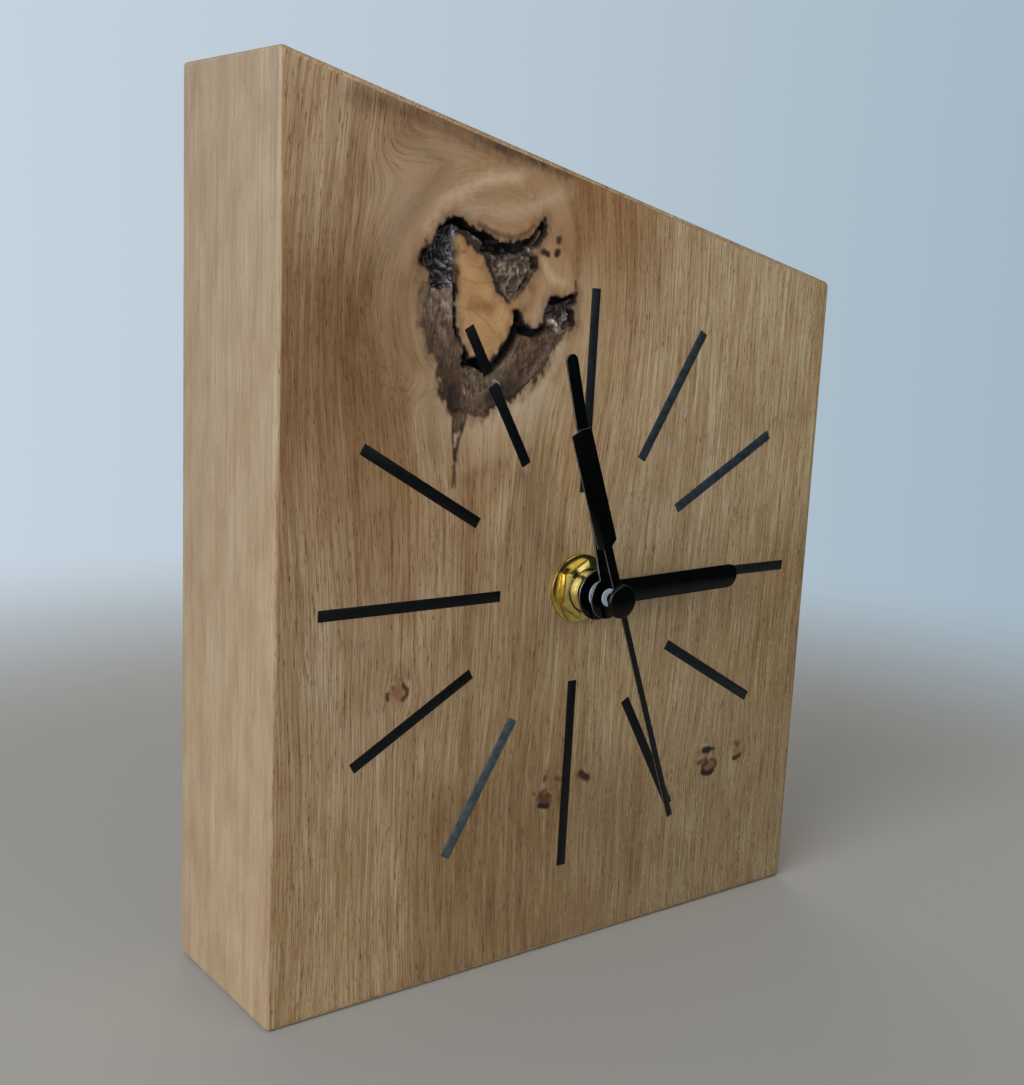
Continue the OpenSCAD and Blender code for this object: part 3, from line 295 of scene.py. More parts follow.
# What grew in the knot, with painted highlights on its wet bark and painted shade in its deep clefts: colour,
# share, half width, soft edge, depth of the bark, wetness, and the points in mm from the left edge and the
# base. Where the half width is 0, the points close a patch.
growth_and_painted_light = [
    ("#68503a", 1.0, 0.0, 0.8, 0.25, 0.1, [
        (27, 131), (33.9, 131), (34.2, 124), (35.4, 121.2), (36.8, 119.8), (37.2, 117.6), (38, 116.6),
        (42, 115.8), (44.2, 116.4), (46.5, 118.9), (48, 122.3), (51, 121.9), (54, 122), (56, 122.8),
        (59, 124), (62.5, 123), (58, 112), (44, 104), (30, 105), (25, 118)]),
    ("#45311d", 0.85, 0.0, 2.0, 0.25, 0.1, [
        (31, 117.5), (34, 117), (36.3, 114.5), (37, 111), (36.5, 106), (31, 107), (30, 112)]),
    ("#28170a", 0.8, 0.0, 1.4, 0.4, 0.1, [
        (33.6, 113.2), (35.4, 113.8), (36.4, 111), (35.4, 108), (33.2, 109.5)]),
    ("#342313", 0.85, 0.0, 1.6, 0.3, 0.1, [
        (41.5, 111.5), (44, 112.8), (47, 114.2), (50, 113.8), (49, 108), (42, 106)]),
    ("#604834", 0.9, 0.0, 1.2, 0.4, 0.3, [
        (48.5, 121.5), (54, 121.8), (60, 119), (56, 112), (50, 113.5), (48.2, 117)]),
    ("#705640", 0.75, 0.0, 1.6, 0.3, 0.2, [
        (48.8, 121), (51, 121.4), (52.8, 119.6), (51, 117.8), (48.8, 118.2)]),
    ("#86725a", 1.0, 0.0, 1.0, 0.45, 0.5, [
        (27, 127.5), (27, 124.8), (31, 124.2), (33.8, 124.6), (34, 127), (33.8, 130), (31, 130.6),
        (27.6, 130.6)]),
    # Pale lines on the bark's ridges: in part the paler bark, in part a painted highlight
    ("#b5a18b", 0.6, 0.35, 0.8, 0.4, 0.4, [(30, 129.6), (31.4, 128.4), (33, 126.8)]),
    ("#95816d", 0.65, 0.35, 0.9, 0.3, 0.4, [(31, 124), (32.2, 122.2), (33.4, 120.2)]),
    ("#7b6956", 0.9, 0.0, 1.2, 0.3, 0.7, [
        (36.8, 115.2), (39, 116), (42, 115.5), (44, 114.8), (43.5, 113), (41, 111.8), (38, 111),
        (36.5, 112.3)]),
    ("#877157", 0.85, 0.8, 1.0, 0.25, 0.2, [(43.4, 114.8), (45.4, 116), (47.4, 118)]),
    ("#281a17", 1.0, 0.0, 0.7, 1.9, 1.0, [
        (29.2, 130.6), (29.2, 134), (29.8, 137), (31, 139.5), (32.5, 141), (34.2, 141), (34, 138),
        (33.8, 134), (34.4, 130.5), (31.5, 129.8)]),
    ("#1d1512", 0.85, 0.5, 1.4, 2.6, 1.0, [
        (29.4, 131.8), (29.5, 134.4), (30.3, 137.4), (31.6, 139.8)]),
    ("#2a2120", 0.9, 0.3, 2.2, 0.5, 1.0, [
        (33.9, 140.6), (33.8, 138), (33.8, 134), (34.2, 130), (34.1, 127)]),
    # Painted highlights: bluish-white glints on the wet bark of the cleft
    ("#9a9aa8", 0.85, 0.12, 0.4, 0.6, 1.0, [(33.7, 140.8), (33.6, 139), (33.7, 136.4)]),
    ("#807d8a", 0.8, 0.12, 0.4, 0.8, 1.0, [(32.4, 137), (33, 135.7), (33.8, 134.6)]),
    ("#b5b8c4", 0.85, 0.12, 0.4, 0.8, 1.0, [(31.2, 134.6), (32.4, 133.7), (33.6, 133.1)]),
    ("#b5b8c4", 0.85, 0.12, 0.4, 0.7, 1.0, [(31.6, 132.8), (33, 131.6), (34.2, 130.1)]),
    ("#928e9a", 0.8, 0.12, 0.4, 0.5, 1.0, [
        (32.2, 131), (33.3, 129.3), (33.9, 127.4), (33.7, 125.6)]),
    ("#7f6c5b", 1.0, 0.0, 0.6, 0.85, 0.4, [
        (42.3, 136), (44, 135), (46, 135.8), (49, 136), (50.5, 135.8), (51.2, 134), (50, 132.5),
        (48.7, 130.5), (47.3, 128.5), (46, 127.9), (44, 129.5), (43, 131.5), (42.3, 133.5)]),
    ("#735540", 0.8, 0.3, 1.4, 0.9, 0.4, [(46, 129.4), (48, 131.2), (50, 134.4)]),
    ("#3f312e", 1.0, 0.0, 0.6, 1.5, 0.8, [
        (54, 127), (55, 128.6), (57.5, 129), (60, 128.8), (60.7, 127), (60.7, 125), (59.5, 123.5),
        (57, 122.8), (55, 123), (54.2, 125)]),
    # Painted highlights on the wet lobe: a pale patch, a paler streak beside it and white glints
    ("#c1a995", 0.95, 0.7, 0.9, 0.6, 0.9, [(55.2, 124.6), (56.6, 124.4), (57.6, 123.6)]),
    ("#826f65", 0.8, 0.5, 0.8, 0.7, 0.9, [(57.6, 123.7), (59, 124.4), (60, 125.8)]),
    ("#f0e0d5", 0.85, 0.15, 0.4, 0.5, 1.0, [(56.2, 124.9), (57, 124.4), (57.4, 123.9)]),
    # Near black at the bottom of the deep clefts: painted shade
    ("#0e0807", 1.0, 0.7, 0.5, 3.2, 0.4, [
        (27, 134.2), (27.3, 135.8), (28.6, 136.3), (29.8, 138.2), (31, 140), (32.3, 141.3), (33.6, 141.9),
        (35.2, 141.3), (36.6, 140.7), (38.6, 139.9), (40.4, 139), (42, 138.3)]),
    ("#140c0b", 1.0, 0.85, 0.6, 2.9, 0.4, [
        (41, 137.2), (42.5, 137.4), (44, 136.9), (46.5, 137.3), (48.5, 137.6), (50, 138.7), (51.3, 140),
        (52.2, 141.3), (52.8, 142.3)]),
    ("#0e0807", 1.0, 0.35, 0.4, 3.0, 0.4, [
        (34.3, 130.5), (34.4, 127.5), (34.6, 124.5), (35.2, 122), (36.4, 120.6), (37.1, 119.6),
        (36.9, 118.2), (37.3, 117.1), (39, 116.8)]),
    ("#2b1a12", 1.0, 0.8, 0.5, 2.2, 0.4, [(44.6, 118), (46, 120), (47, 122.4)]),
    ("#0e0807", 1.0, 0.6, 0.4, 3.2, 0.4, [
        (37, 116.9), (38.2, 117.5), (39.6, 117), (41, 116.2), (43, 116.4), (44.5, 117.2), (46.3, 118.9),
        (47.4, 120.8), (48.2, 122.4), (48.3, 123.8), (47.7, 125.8)]),
    ("#0e0807", 1.0, 0.65, 0.4, 3.2, 0.4, [
        (48.2, 123.4), (50, 122.7), (52, 122.4), (53.6, 122.7), (54.6, 124), (54.3, 126)]),
    ("#0e0807", 1.0, 0.6, 0.5, 3.0, 0.4, [
        (54.3, 126), (55.2, 128), (57, 128.4), (59, 128.7), (60.3, 129.6), (60.9, 131)]),
    # Painted highlights: glints on the wet bark of the top cleft and at its right end, and two at the bottom
    ("#c9b3a9", 0.8, 0.15, 0.5, 1.0, 1.0, [(36.8, 140.1), (38.2, 139.3), (39.6, 138.2), (41, 137.1)]),
    ("#a8958c", 0.8, 0.2, 0.5, 1.0, 1.0, [(52.5, 141.6), (52.7, 140.3), (51.9, 139)]),
    ("#a8958c", 0.7, 0.15, 0.4, 0.8, 1.0, [(50.2, 137.6), (51.1, 136.2)]),
    ("#d2cdc8", 0.8, 0.1, 0.35, 0.25, 1.0, [(36.9, 112.8), (37.2, 111.8)]),
    ("#c3c8cf", 0.8, 0.12, 0.4, 0.25, 1.0, [(43.3, 114), (44.5, 113.5)]),
]

# The face's colour in broad zones, paler towards the top right and browner round the knot, about
# places in mm from the left edge and the base
zone_spread = 420
tones = [
    (8, 154, "#c9b9a2"), (36, 150, "#a4825c"), (64, 140, "#ae8d68"), (96, 130, "#d5cdb8"),
    (122, 112, "#c9c0a6"), (14, 122, "#967c5b"), (27, 98, "#b9a386"), (60, 104, "#d3c1a3"),
    (94, 96, "#c3bba6"), (12, 66, "#c0b3a0"), (46, 66, "#b6a98f"), (84, 62, "#baaf95"),
    (120, 62, "#a7997c"), (18, 20, "#bdad92"), (60, 22, "#9d8d71"), (104, 22, "#a49c83"),
]

# Soft shades in the wood itself, under its fibres: colour, share, half width, soft edge, and the points,
# which close a patch where the half width is 0
shades = [
    ("#665039", 0.7, 1.2, 5.0, [(13, 160), (24, 158.5), (36, 156.5), (48, 154), (58, 151)]),
    ("#6a553d", 0.45, 0.8, 4.0, [(22, 155), (32, 150.5), (27, 145.5), (21, 138), (16, 130)]),
    ("#7c6346", 0.4, 0.6, 3.5, [(16, 150), (11, 143), (8, 134), (7.5, 122), (9, 112)]),
    ("#886a4a", 0.4, 1.5, 5.0, [(15, 128), (13, 118), (15, 108)]),
    ("#6f5434", 0.5, 1.2, 4.0, [(27, 134), (25.6, 126), (26, 121), (27, 117)]),
    ("#846845", 0.55, 1.5, 5.0, [(30, 111), (31.5, 102)]),
    ("#8b7454", 0.5, 7.0, 14.0, [(37, 30), (35, 4)]),
    ("#86623c", 0.5, 1.0, 4.0, [(24, 130), (22.5, 119), (25, 109)]),
    ("#b29570", 0.7, 0.6, 3.0, [(25.6, 129), (26.2, 123), (27.4, 118), (28.6, 114)]),
    ("#d8c3a6", 0.65, 0.9, 3.0, [(28, 140), (31, 144.5), (36, 147), (41, 149), (47, 149.5)]),
    ("#bea98f", 0.7, 1.2, 3.0, [(36, 144), (42, 143), (48, 144), (56, 147)]),
    ("#9a6f57", 0.45, 0.5, 1.8, [(39.5, 142.5), (44, 141), (48, 141)]),
    ("#c89e6c", 0.85, 0.0, 2.0, [
        (34, 139), (40, 136), (43, 130), (48, 128), (50, 124), (46, 120), (42, 117), (36, 121)]),
    ("#b1916b", 0.75, 0.0, 2.5, [
        (52, 139), (58, 141), (60, 134), (59, 130), (54, 128), (50, 125), (49, 129), (51, 134)]),
    ("#dac3a5", 0.5, 0.6, 2.0, [(53, 135.5), (55, 132.5), (58, 131.5)]),
    ("#855a2c", 0.75, 1.0, 3.0, [(38, 127.4), (41.8, 126.8)]),
    ("#a48764", 0.6, 0.4, 1.5, [(41, 120), (43.5, 122)]),
    ("#785a3c", 0.65, 0.6, 2.2, [(59.4, 146), (61, 140), (61.2, 134), (61, 129), (62, 124)]),
    ("#8b623c", 0.8, 0.7, 2.4, [(49.5, 126.5), (50.8, 128.6), (51, 130.6)]),
    ("#98704c", 0.6, 0.8, 3.0, [(57, 141), (57.5, 138)]),
    ("#9a7448", 0.6, 1.0, 3.5, [(61.5, 123), (60, 119), (57, 114.5)]),
    ("#9a734d", 0.5, 0.3, 1.6, [(57, 119), (54, 114), (50, 110.5)]),
    ("#c9b89a", 0.6, 0.8, 2.2, [(38, 98.5), (40, 102), (44, 103.5)]),
    ("#9b7052", 0.5, 0.8, 3.0, [(37, 96), (42, 98), (46, 99), (44, 93)]),
    ("#7c6e5a", 0.22, 1.5, 4.0, [(51.5, 96), (52.5, 90), (55, 84)]),
    ("#857456", 0.25, 2.0, 5.0, [(108, 106), (116, 104), (124, 106)]),
    ("#b2865a", 0.35, 0.6, 3.0, [(127.5, 118), (128, 110)]),
    ("#cebfa5", 0.5, 0.3, 1.8, [(61.5, 66), (61, 50), (59.5, 38), (60.5, 20), (60, 8)]),
    ("#7d6a4f", 0.4, 0.3, 2.0, [(51, 62), (49, 48), (47, 34), (46, 20)]),
    ("#9d8061", 0.5, 1.2, 3.0, [(24.5, 57.5), (26, 64)]),
]

# Stains, cracks and spots over the fibres, in the same order
stains = [
    ("#3a281a", 0.8, 0.6, 2.0, [(42, 154.4), (45, 154.4), (49, 153.2), (52, 152.3)]),
    ("#4b3623", 0.65, 0.5, 2.4, [(37, 155.4), (45, 153.3), (52, 151.8), (58, 150.6)]),
    ("#5a432c", 0.5, 0.4, 2.6, [(31, 156), (38, 153.6), (46, 151.6)]),
    ("#9f8462", 0.6, 0.1, 0.7, [(50.6, 153.4), (52, 150), (53, 148.2)]),
    ("#7c5c3a", 0.6, 0.12, 0.35, [(34.8, 127), (38, 126.4), (41, 124.5), (43, 122.4)]),
    ("#7a5a3e", 0.5, 0.1, 0.5, [(43.2, 121.5), (44.6, 122.6)]),
    ("#6b4f3a", 0.5, 0.1, 0.5, [(36, 131.6), (39, 131), (42, 131.4)]),
    ("#8c6a4a", 0.5, 0.1, 0.5, [(36.5, 134), (40, 133.6)]),
    ("#2e1f13", 0.9, 0.9, 0.9, [(36.3, 109.6), (36, 107.4), (35.6, 105.5)]),
    ("#7a5f44", 0.6, 0.2, 0.5, [(36.2, 108.6), (35.8, 105.5)]),
    ("#1d120a", 0.9, 0.25, 0.6, [(34.9, 109.5), (34.8, 106), (34.9, 103), (35.1, 100.5)]),
    ("#1d120a", 0.9, 0.32, 0.7, [(37.8, 109.5), (37.1, 106.6), (36, 103.4), (35.5, 100)]),
    ("#2c1d11", 0.9, 0.36, 0.8, [(35.5, 102), (35.4, 98), (35.2, 95.4)]),
    ("#8c5c44", 0.6, 0.3, 1.0, [(38.7, 141.8), (38.8, 140.9)]),
    ("#5a2f24", 0.8, 0.35, 0.8, [
        (38.6, 141), (40.2, 140.5), (43, 139.5), (46, 139.1), (49, 140), (50.6, 141.3)]),
    ("#4a2f1c", 0.85, 0.25, 0.5, [(34.4, 133), (34.9, 132.7)]),
    ("#6d4c30", 0.75, 0.25, 0.5, [(35.4, 136.2), (36, 136.2)]),
    ("#351f0c", 1.0, 0.55, 0.6, [(52.8, 137), (54.1, 136.6)]),
    ("#2e1b0a", 1.0, 0.7, 0.6, [(56.3, 137), (56.2, 136.7)]),
    ("#3f2712", 1.0, 0.6, 0.6, [(56.5, 139.3), (56.4, 138.9)]),
    ("#6b4528", 0.7, 0.2, 0.4, [(44.9, 139.8), (45.2, 139.6)]),
    # Near black at the lip of the deep nub: painted shade
    ("#060302", 1.0, 0.75, 0.6, [(27.0, 134.4), (27.4, 135.8), (28.6, 135.2)]),
    ("#2b1a10", 0.85, 0.35, 0.5, [(27.8, 137.8), (28.4, 137)]),
    ("#3f2a18", 0.8, 0.25, 0.5, [(60.8, 132), (60.9, 130)]),
    ("#7a5a3e", 0.5, 0.2, 0.5, [(52.6, 144.8), (52.8, 142.6), (54.4, 141)]),
    ("#3a2a20", 0.7, 0.1, 0.4, [(49.6, 96.2), (51.6, 96.6)]),
    # pin knots left of the mark at six and beside it
    ("#4b2b16", 0.95, 1.12, 1.2, [(59.2, 32.6), (60.6, 31.4)]),
    ("#120805", 0.98, 0.57, 0.4, [(58.8, 30.9), (60.5, 30.4)]),
    ("#512013", 0.95, 0.52, 0.5, [(60.6, 32.9), (61.1, 32.4)]),
    ("#442614", 0.8, 0.27, 0.5, [(58.8, 33.2), (59.6, 34), (60.2, 33.9)]),
    ("#462715", 0.9, 0.42, 0.5, [(59.7, 36.5), (59.7, 36)]),
    ("#693d22", 0.6, 0.22, 0.6, [(59.7, 36.3), (59.8, 38)]),
    ("#462d1b", 0.8, 0.32, 0.4, [(57.2, 33.7), (57.2, 33.5)]),
    ("#5d321d", 0.8, 0.47, 0.7, [(62.6, 35.8), (63.9, 35.4)]),
    ("#693d26", 0.6, 0.42, 0.8, [(63.2, 31.5), (63.9, 31.3)]),
    ("#693d24", 0.6, 0.82, 1.2, [(68.6, 35.8), (70.8, 34.4)]),
    ("#35150e", 0.98, 0.77, 0.6, [(68.9, 35.7), (70.4, 34.5)]),
    ("#694429", 0.55, 0.22, 0.8, [(69.7, 37), (69.8, 39)]),
    # pin knots at the lower right
    ("#6c4220", 0.6, 0.82, 1.4, [(101.6, 34.5), (104.6, 34.4)]),
    ("#0e0704", 0.98, 0.77, 0.5, [(103, 34.8), (104.2, 34.6)]),
    ("#211009", 0.98, 0.37, 0.5, [(104.6, 34.7), (105.8, 34.6)]),
    ("#51311b", 0.9, 0.52, 0.8, [(101.4, 32.1), (103.6, 32.4)]),
    ("#69432f", 0.85, 1.22, 0.8, [(104.6, 30.7), (105, 30.6)]),
    ("#391b0f", 0.98, 0.47, 0.5, [(104, 31.8), (102.8, 31.2), (102.8, 29.9)]),
    ("#140805", 0.98, 0.62, 0.5, [(103, 29.9), (103.8, 29.3), (104.8, 29.3), (105.8, 29.8)]),
    ("#442111", 0.85, 0.37, 0.5, [(106, 29.9), (106.7, 30.8), (106.4, 31.8), (105, 32.4)]),
    ("#7d5a38", 0.7, 1.02, 1.0, [(112.6, 33), (113.2, 32.9)]),
    ("#2c1b0d", 0.98, 0.52, 0.5, [(112, 31.4), (113, 31.4), (113.9, 31.9)]),
    ("#513921", 0.8, 0.62, 0.7, [(112.2, 34.9), (112.9, 34.4)]),
    ("#694120", 0.6, 0.37, 0.7, [(115, 33.6), (115, 32.4)]),
    # pin knot at the left
    ("#7d5537", 0.7, 1.12, 1.2, [(24.8, 59), (25.2, 58.4)]),
    ("#512915", 0.8, 0.37, 0.4, [(24, 59.9), (24.1, 59.7)]),
    ("#3b1a0c", 0.95, 0.42, 0.4, [(22.9, 58.8), (22.9, 57.8)]),
    ("#441e0d", 0.9, 0.42, 0.5, [(26.2, 60), (27, 59), (26.9, 58), (26.2, 57.3)]),
    ("#693a21", 0.6, 0.27, 0.7, [(27.2, 61), (27.5, 65)]),
]


def rgb(code):
    """An sRGB hex colour as linear red, green and blue."""
    parts = [int(code[i : i + 2], 16) / 255 for i in (1, 3, 5)]
    return np.array([c / 12.92 if c <= 0.04045 else ((c + 0.055) / 1.055) ** 2.4 for c in parts])


def paint(piece, name, values):
    """Keeps one colour and share, or one vector, for each vertex of a piece."""
    kind, field = ("FLOAT_COLOR", "color") if values.shape[1] == 4 else ("FLOAT_VECTOR", "vector")
    kept = piece.data.attributes.new(name, kind, "POINT")
    kept.data.foreach_set(field, values.astype(np.float32).ravel())


def laid_on(x, z, table):
    """Strokes and patches over each place: colour times share, and the share of what they hide."""
    ragged = 0.6 * lumps(x, z, 1.1, 1.6, 3.1) + 0.4 * lumps(x, z, 0.45, 0.6, 8.4)
    layer = np.zeros((len(x), 4))
    for colour, share, half, soft, points in table:
        far = reach(x, z, points, half == 0)[0] + min(1, 0.6 * soft) * ragged
        over = share * (1 - ramp(far, half - soft / 2, half + soft / 2))
        layer = layer * (1 - over)[:, None] + np.append(rgb(colour), 1) * over[:, None]
    return layer


def grown(x, z):
    """Colour of the bark at each place, with the highlights and shade painted on it, its depth in mm and its
    wetness, from 0 to 1.
    """
    ragged = 0.5 * lumps(x, z, 1.3, 0.9, 12.6) + 0.35 * lumps(x, z, 0.4, 0.3, 4.4)
    colour = np.repeat(rgb("#4c3a2c")[None], len(x), 0)
    depth, wet = np.full(len(x), 1.2), np.full(len(x), 0.3)
    for code, share, half, soft, deep, gloss, points in growth_and_painted_light:
        far = reach(x, z, points, half == 0)[0] + min(0.8, soft) * ragged
        over = share * (1 - ramp(far, half - soft / 2, half + soft / 2))
        colour += (rgb(code) - colour) * over[:, None]
        depth += (deep - depth) * over
        wet += (gloss - wet) * over
    patchy = 0.5 * lumps(x, z, 1.6, 2.2, 14.2) + 0.3 * lumps(x, z, 0.6, 0.9, 2.9)
    return colour * np.clip(1 + patchy, 0.3, 1.9)[:, None], depth, wet


# Middle of the open knot, then the place, radius and spread by which the fibres part round it
knot_x, knot_z = 42, 127.5
open_knot = (43, 127, 14, 1.0)


def grain_at(x, y, z):
    """Place of each point in a straight-grown plank, in mm: across the fibres, through them, along them.
    The fibres part and pass round the knots. They circle the open one, out to about 32 mm at its upper
    left and 14 mm at its lower right."""
    across, along = x.copy(), z.copy()
    for a, b, r, spread in [open_knot] + [(*spot, 1.15) for spot in pin_knots]:
        share = r * r / ((x - a) ** 2 + (z - b) ** 2 + spread * r * r)
        across -= (x - a) * share
        along += (z - b) * share
    from_knot = np.hypot(x - knot_x, z - knot_z)
    round_knot = np.arctan2(z - knot_z, x - knot_x)
    circling = 1 - ramp(from_knot / (23 + 9 * np.cos(round_knot - 2.36)), 0.75, 1.1)
    across += (48 - from_knot - across) * circling
    along += (100 + 20 * np.arccos(np.cos(round_knot + 0.785)) - along) * circling
    across += 1.6 * lumps(x, z, 26, 60, 1.7) + 0.5 * lumps(x, z, 9, 26, 5.2)
    return np.stack([across, y, along], 1)


# The block's colour: the face by place, and its left and right sides paler and greyer, in part as quarter-cut
# wood is and in part a painted light, for the cool window light on the left side; the rest plain. A point
# within 0.4 mm of a side lies on it.
near_side = 0.4
rows = places(block)
x, z = rows[:, 0] + block_w / 2, rows[:, 2]
on_face = rows[:, 1] < face_y + 0.6 * arris
total, colour = np.zeros(len(x)), np.zeros((len(x), 3))
for a, b, code in tones:
    weight = np.exp(-((x - a) ** 2 + (z - b) ** 2) / zone_spread)
    total += weight
    colour += weight[:, None] * rgb(code)
colour /= total[:, None]
layer = laid_on(x, z, shades)
colour = colour * (1 - layer[:, 3:]) + layer[:, :3]
colour[~on_face] = rgb("#b9a785")
# The sides' paler, cooler tone is in part painted light: the window's light on the left side
side_keys = zip(rgb("#b09e83"), rgb("#aca08c"), rgb("#a4957e"))
side = np.stack([np.interp(z, (10, 85, 155), key) for key in side_keys], 1)
colour = np.where(np.abs(rows[:, :1]) > block_w / 2 - near_side, side, colour)

# How strong the figure is: weak on the wood round the knot, which the strokes above already draw, full on
# the rest of the face, and calmer on the back and the sides
far = reach(x, z, torn, True)[0] - 12 * (1 - ramp(np.hypot(x - 47, z - 129), 12, 14))
far -= 10 * (1 - ramp(np.hypot((x - 38) / 1.4, z - 147), 9, 18))
lively = 0.24 + 0.76 * ramp(far, -1, 15)
lively[rows[:, 1] > back_y - near_side] = 0.6
lively[np.abs(rows[:, 0]) > block_w / 2 - near_side] = 0.45
paint(block, "tone", np.append(colour, lively[:, None], 1))

# Over it: stains, the bark that clings to the filled side of the hollow, a dark rim on its open side,
# and its walls, painted near black as painted shade in the hollow
layer = laid_on(x, z, stains) * on_face[:, None]
close = np.flatnonzero(np.hypot(x - 44, z - 126) < 26)
beyond = reach(x[close], z[close], torn, True)[0]
bark_colour, bark_depth = grown(x[close], z[close])[:2]
filled = 1 - ramp(bark_depth, 0.6, 1.3)
ragged = 1.1 * lumps(x[close], z[close], 1.2, 2.2, 6.6) + 0.6 * lumps(x[close], z[close], 0.4, 0.7, 3.7)
halo = (0.4 + 0.15 * filled) * (1 - ramp(beyond + ragged, 0.4, 2.2))
clinging = filled * (1 - ramp(beyond + ragged, 0.3, 0.9))
rim = (1 - filled) * (1 - ramp(beyond + 0.4 * ragged, 0.1, 0.55))
for share, laid in [(halo, rgb("#5d4229")), (clinging, bark_colour * 0.62), (rim, rgb("#1a100b"))]:
    over = (share * on_face[close])[:, None]
    layer[close] = layer[close] * (1 - over)
    layer[close] += np.append(laid * over, over, 1)
under_face = rows[close, 1] - face_y
# The walls down in the hollow are painted near black: painted shade
walls = close[(beyond < 0.3) & (under_face > 0.3) & (under_face < hollow_depth + 0.1)]
layer[walls] = np.append(rgb("#0d0806"), 1)
paint(block, "tint", layer)
paint(block, "grain", grain_at(x, rows[:, 1], z))


def node(tree, kind, inputs, out=0, stops=(), **settings):
    """Adds a shader node with its settings and links, and gives one of its outputs."""
    made = tree.nodes.new("ShaderNode" + kind)
    for name, value in settings.items():
        setattr(made, name, value)
    for key, value in inputs.items():
        if isinstance(value, bpy.types.NodeSocket):
            tree.links.new(value, made.inputs[key])
        elif isinstance(value, str):
            made.inputs[key].default_value = (*rgb(value), 1)
        else:
            made.inputs[key].default_value = value
    while stops and len(made.color_ramp.elements) < len(stops):
        made.color_ramp.elements.new(0.5)
    for element, (place, colour) in zip(made.color_ramp.elements if stops else (), stops):
        element.position = place
        element.color = (*rgb(colour), 1) if isinstance(colour, str) else (colour, colour, colour, 1)
    return made.outputs[out]


def material(name, sockets):
    """A new material, its node tree and its shader, with numbers and colours set on the shader."""
    made = bpy.data.materials.new(name)
    made.use_nodes = True
    shader = made.node_tree.nodes["Principled BSDF"]
    for key, value in sockets.items():
        shader.inputs[key].default_value = (*rgb(value), 1) if isinstance(value, str) else value
    return made, made.node_tree, shader


def dress(piece, *finishes):
    """Gives a piece these materials and no others."""
    piece.data.materials.clear()
    for finish in finishes:
        piece.data.materials.append(finish)


# European oak, planed, sanded and oiled: growth rings about 5 mm apart, fine fibre streaks, open pores as
# short dark dashes, pale flecks where rays are cut, and a low satin sheen. Pores are 0.22 mm wide, as in
# the real wood, and the fibres, which are finer, are drawn as wide so that they show.
oak, tree, shader = material("oak_sanded_oiled", {"Roughness": 0.5, "IOR": 1.45})
grain = node(tree, "Attribute", {}, out="Vector", attribute_name="grain")
tone = node(tree, "Attribute", {}, out="Color", attribute_name="tone")
liveliness = node(tree, "Attribute", {}, out="Alpha", attribute_name="tone")
tint_colour = node(tree, "Attribute", {}, out="Color", attribute_name="tint")
tint_share = node(tree, "Attribute", {}, out="Alpha", attribute_name="tint")


def streaks(width, length, seed, detail=1.0, rough=0.5):
    """Noise drawn out along the fibres, with streaks of this width and length in mm."""
    scaled = node(tree, "Mapping", {
        "Vector": grain, "Location": (seed, seed * 1.7, seed * 0.6),
        "Scale": (1 / width, 1 / width, 1 / length)})
    return node(tree, "TexNoise", {"Vector": scaled, "Scale": 1.0, "Detail": detail, "Roughness": rough})


# Growth rings about a pith beside and behind the block, wavy along the fibres
pith, ring_w, ring_wave = (105, 210, 0), 4.6, 160
flat = node(tree, "VectorMath", {0: grain, 1: (1, 1, 0)}, operation="MULTIPLY")
from_pith = node(tree, "VectorMath", {0: flat, 1: pith}, out="Value", operation="DISTANCE")
ringed = node(tree, "CombineXYZ", {"X": from_pith, "Y": node(tree, "SeparateXYZ", {0: grain}, out="Z")})
ringed = node(tree, "Mapping", {"Vector": ringed, "Scale": (1 / ring_w, 1 / ring_wave, 1)})
ring = node(tree, "TexNoise", {"Vector": ringed, "Scale": 1.0, "Detail": 2.0})
rings = node(tree, "ValToRGB", {"Fac": ring}, stops=[(0.34, "#e6dccf"), (0.55, "#faf7f2"), (0.7, "#ffffff")])

# Mottle, soft bands, fibres, the comb of finer fibres, and threads that shift between pink and olive
cloud = streaks(5, 14, 91.7)
mottle = node(
    tree, "ValToRGB", {"Fac": cloud}, stops=[(0.35, "#f3ece6"), (0.5, "#fbf8f4"), (0.65, "#ffffff")])
soft = streaks(1.0, 48, 63.9, 2.0)
bands = node(tree, "ValToRGB", {"Fac": soft}, stops=[(0.34, "#dbc6ac"), (0.56, "#f8f3ec"), (0.7, "#ffffff")])
fine = streaks(0.42, 17, 11.3, 3.0, 0.6)
fibres = node(tree, "ValToRGB", {"Fac": fine}, stops=[(0.32, "#d8cab6"), (0.5, "#f5f0e9"), (0.66, "#ffffff")])
combed = streaks(0.24, 9, 5.9)
comb = node(tree, "ValToRGB", {"Fac": combed}, stops=[(0.4, "#e5dccf"), (0.58, "#ffffff")])
thread = streaks(0.3, 2.4, 47.1, 2.0)
olive = node(
    tree, "ValToRGB", {"Fac": thread}, stops=[(0.36, "#f6e8da"), (0.5, "#f8f5ec"), (0.64, "#f6fae8")])
base = tone
for figure, strength in [
    (rings, 0.75), (mottle, None), (bands, 0.6), (fibres, 1.0), (comb, 1.0), (olive, 0.7),
]:
    share = 1.0
    if strength:
        share = node(tree, "Math", {0: liveliness, 1: strength}, operation="MULTIPLY")
    base = node(
        tree, "Mix", {0: share, 6: base, 7: figure}, out=2, data_type="RGBA", blend_type="MULTIPLY")

# Longer dashes, then the open pores, whose share is kept for the relief
dashed, porous = streaks(0.32, 3.2, 79.9), streaks(0.22, 2.2, 23.5)
dashes = node(tree, "MapRange", {"Value": dashed, "From Min": 0.62, "From Max": 0.7})
pores = node(tree, "MapRange", {"Value": porous, "From Min": 0.64, "From Max": 0.72})
for spots, strength, code in [(dashes, 0.5, "#b99a76"), (pores, 0.7, "#987753")]:
    share = node(tree, "Math", {0: liveliness, 1: strength}, operation="MULTIPLY")
    share = node(tree, "Math", {0: spots, 1: share}, operation="MULTIPLY")
    base = node(tree, "Mix", {0: share, 6: base, 7: code}, out=2, data_type="RGBA", blend_type="MULTIPLY")

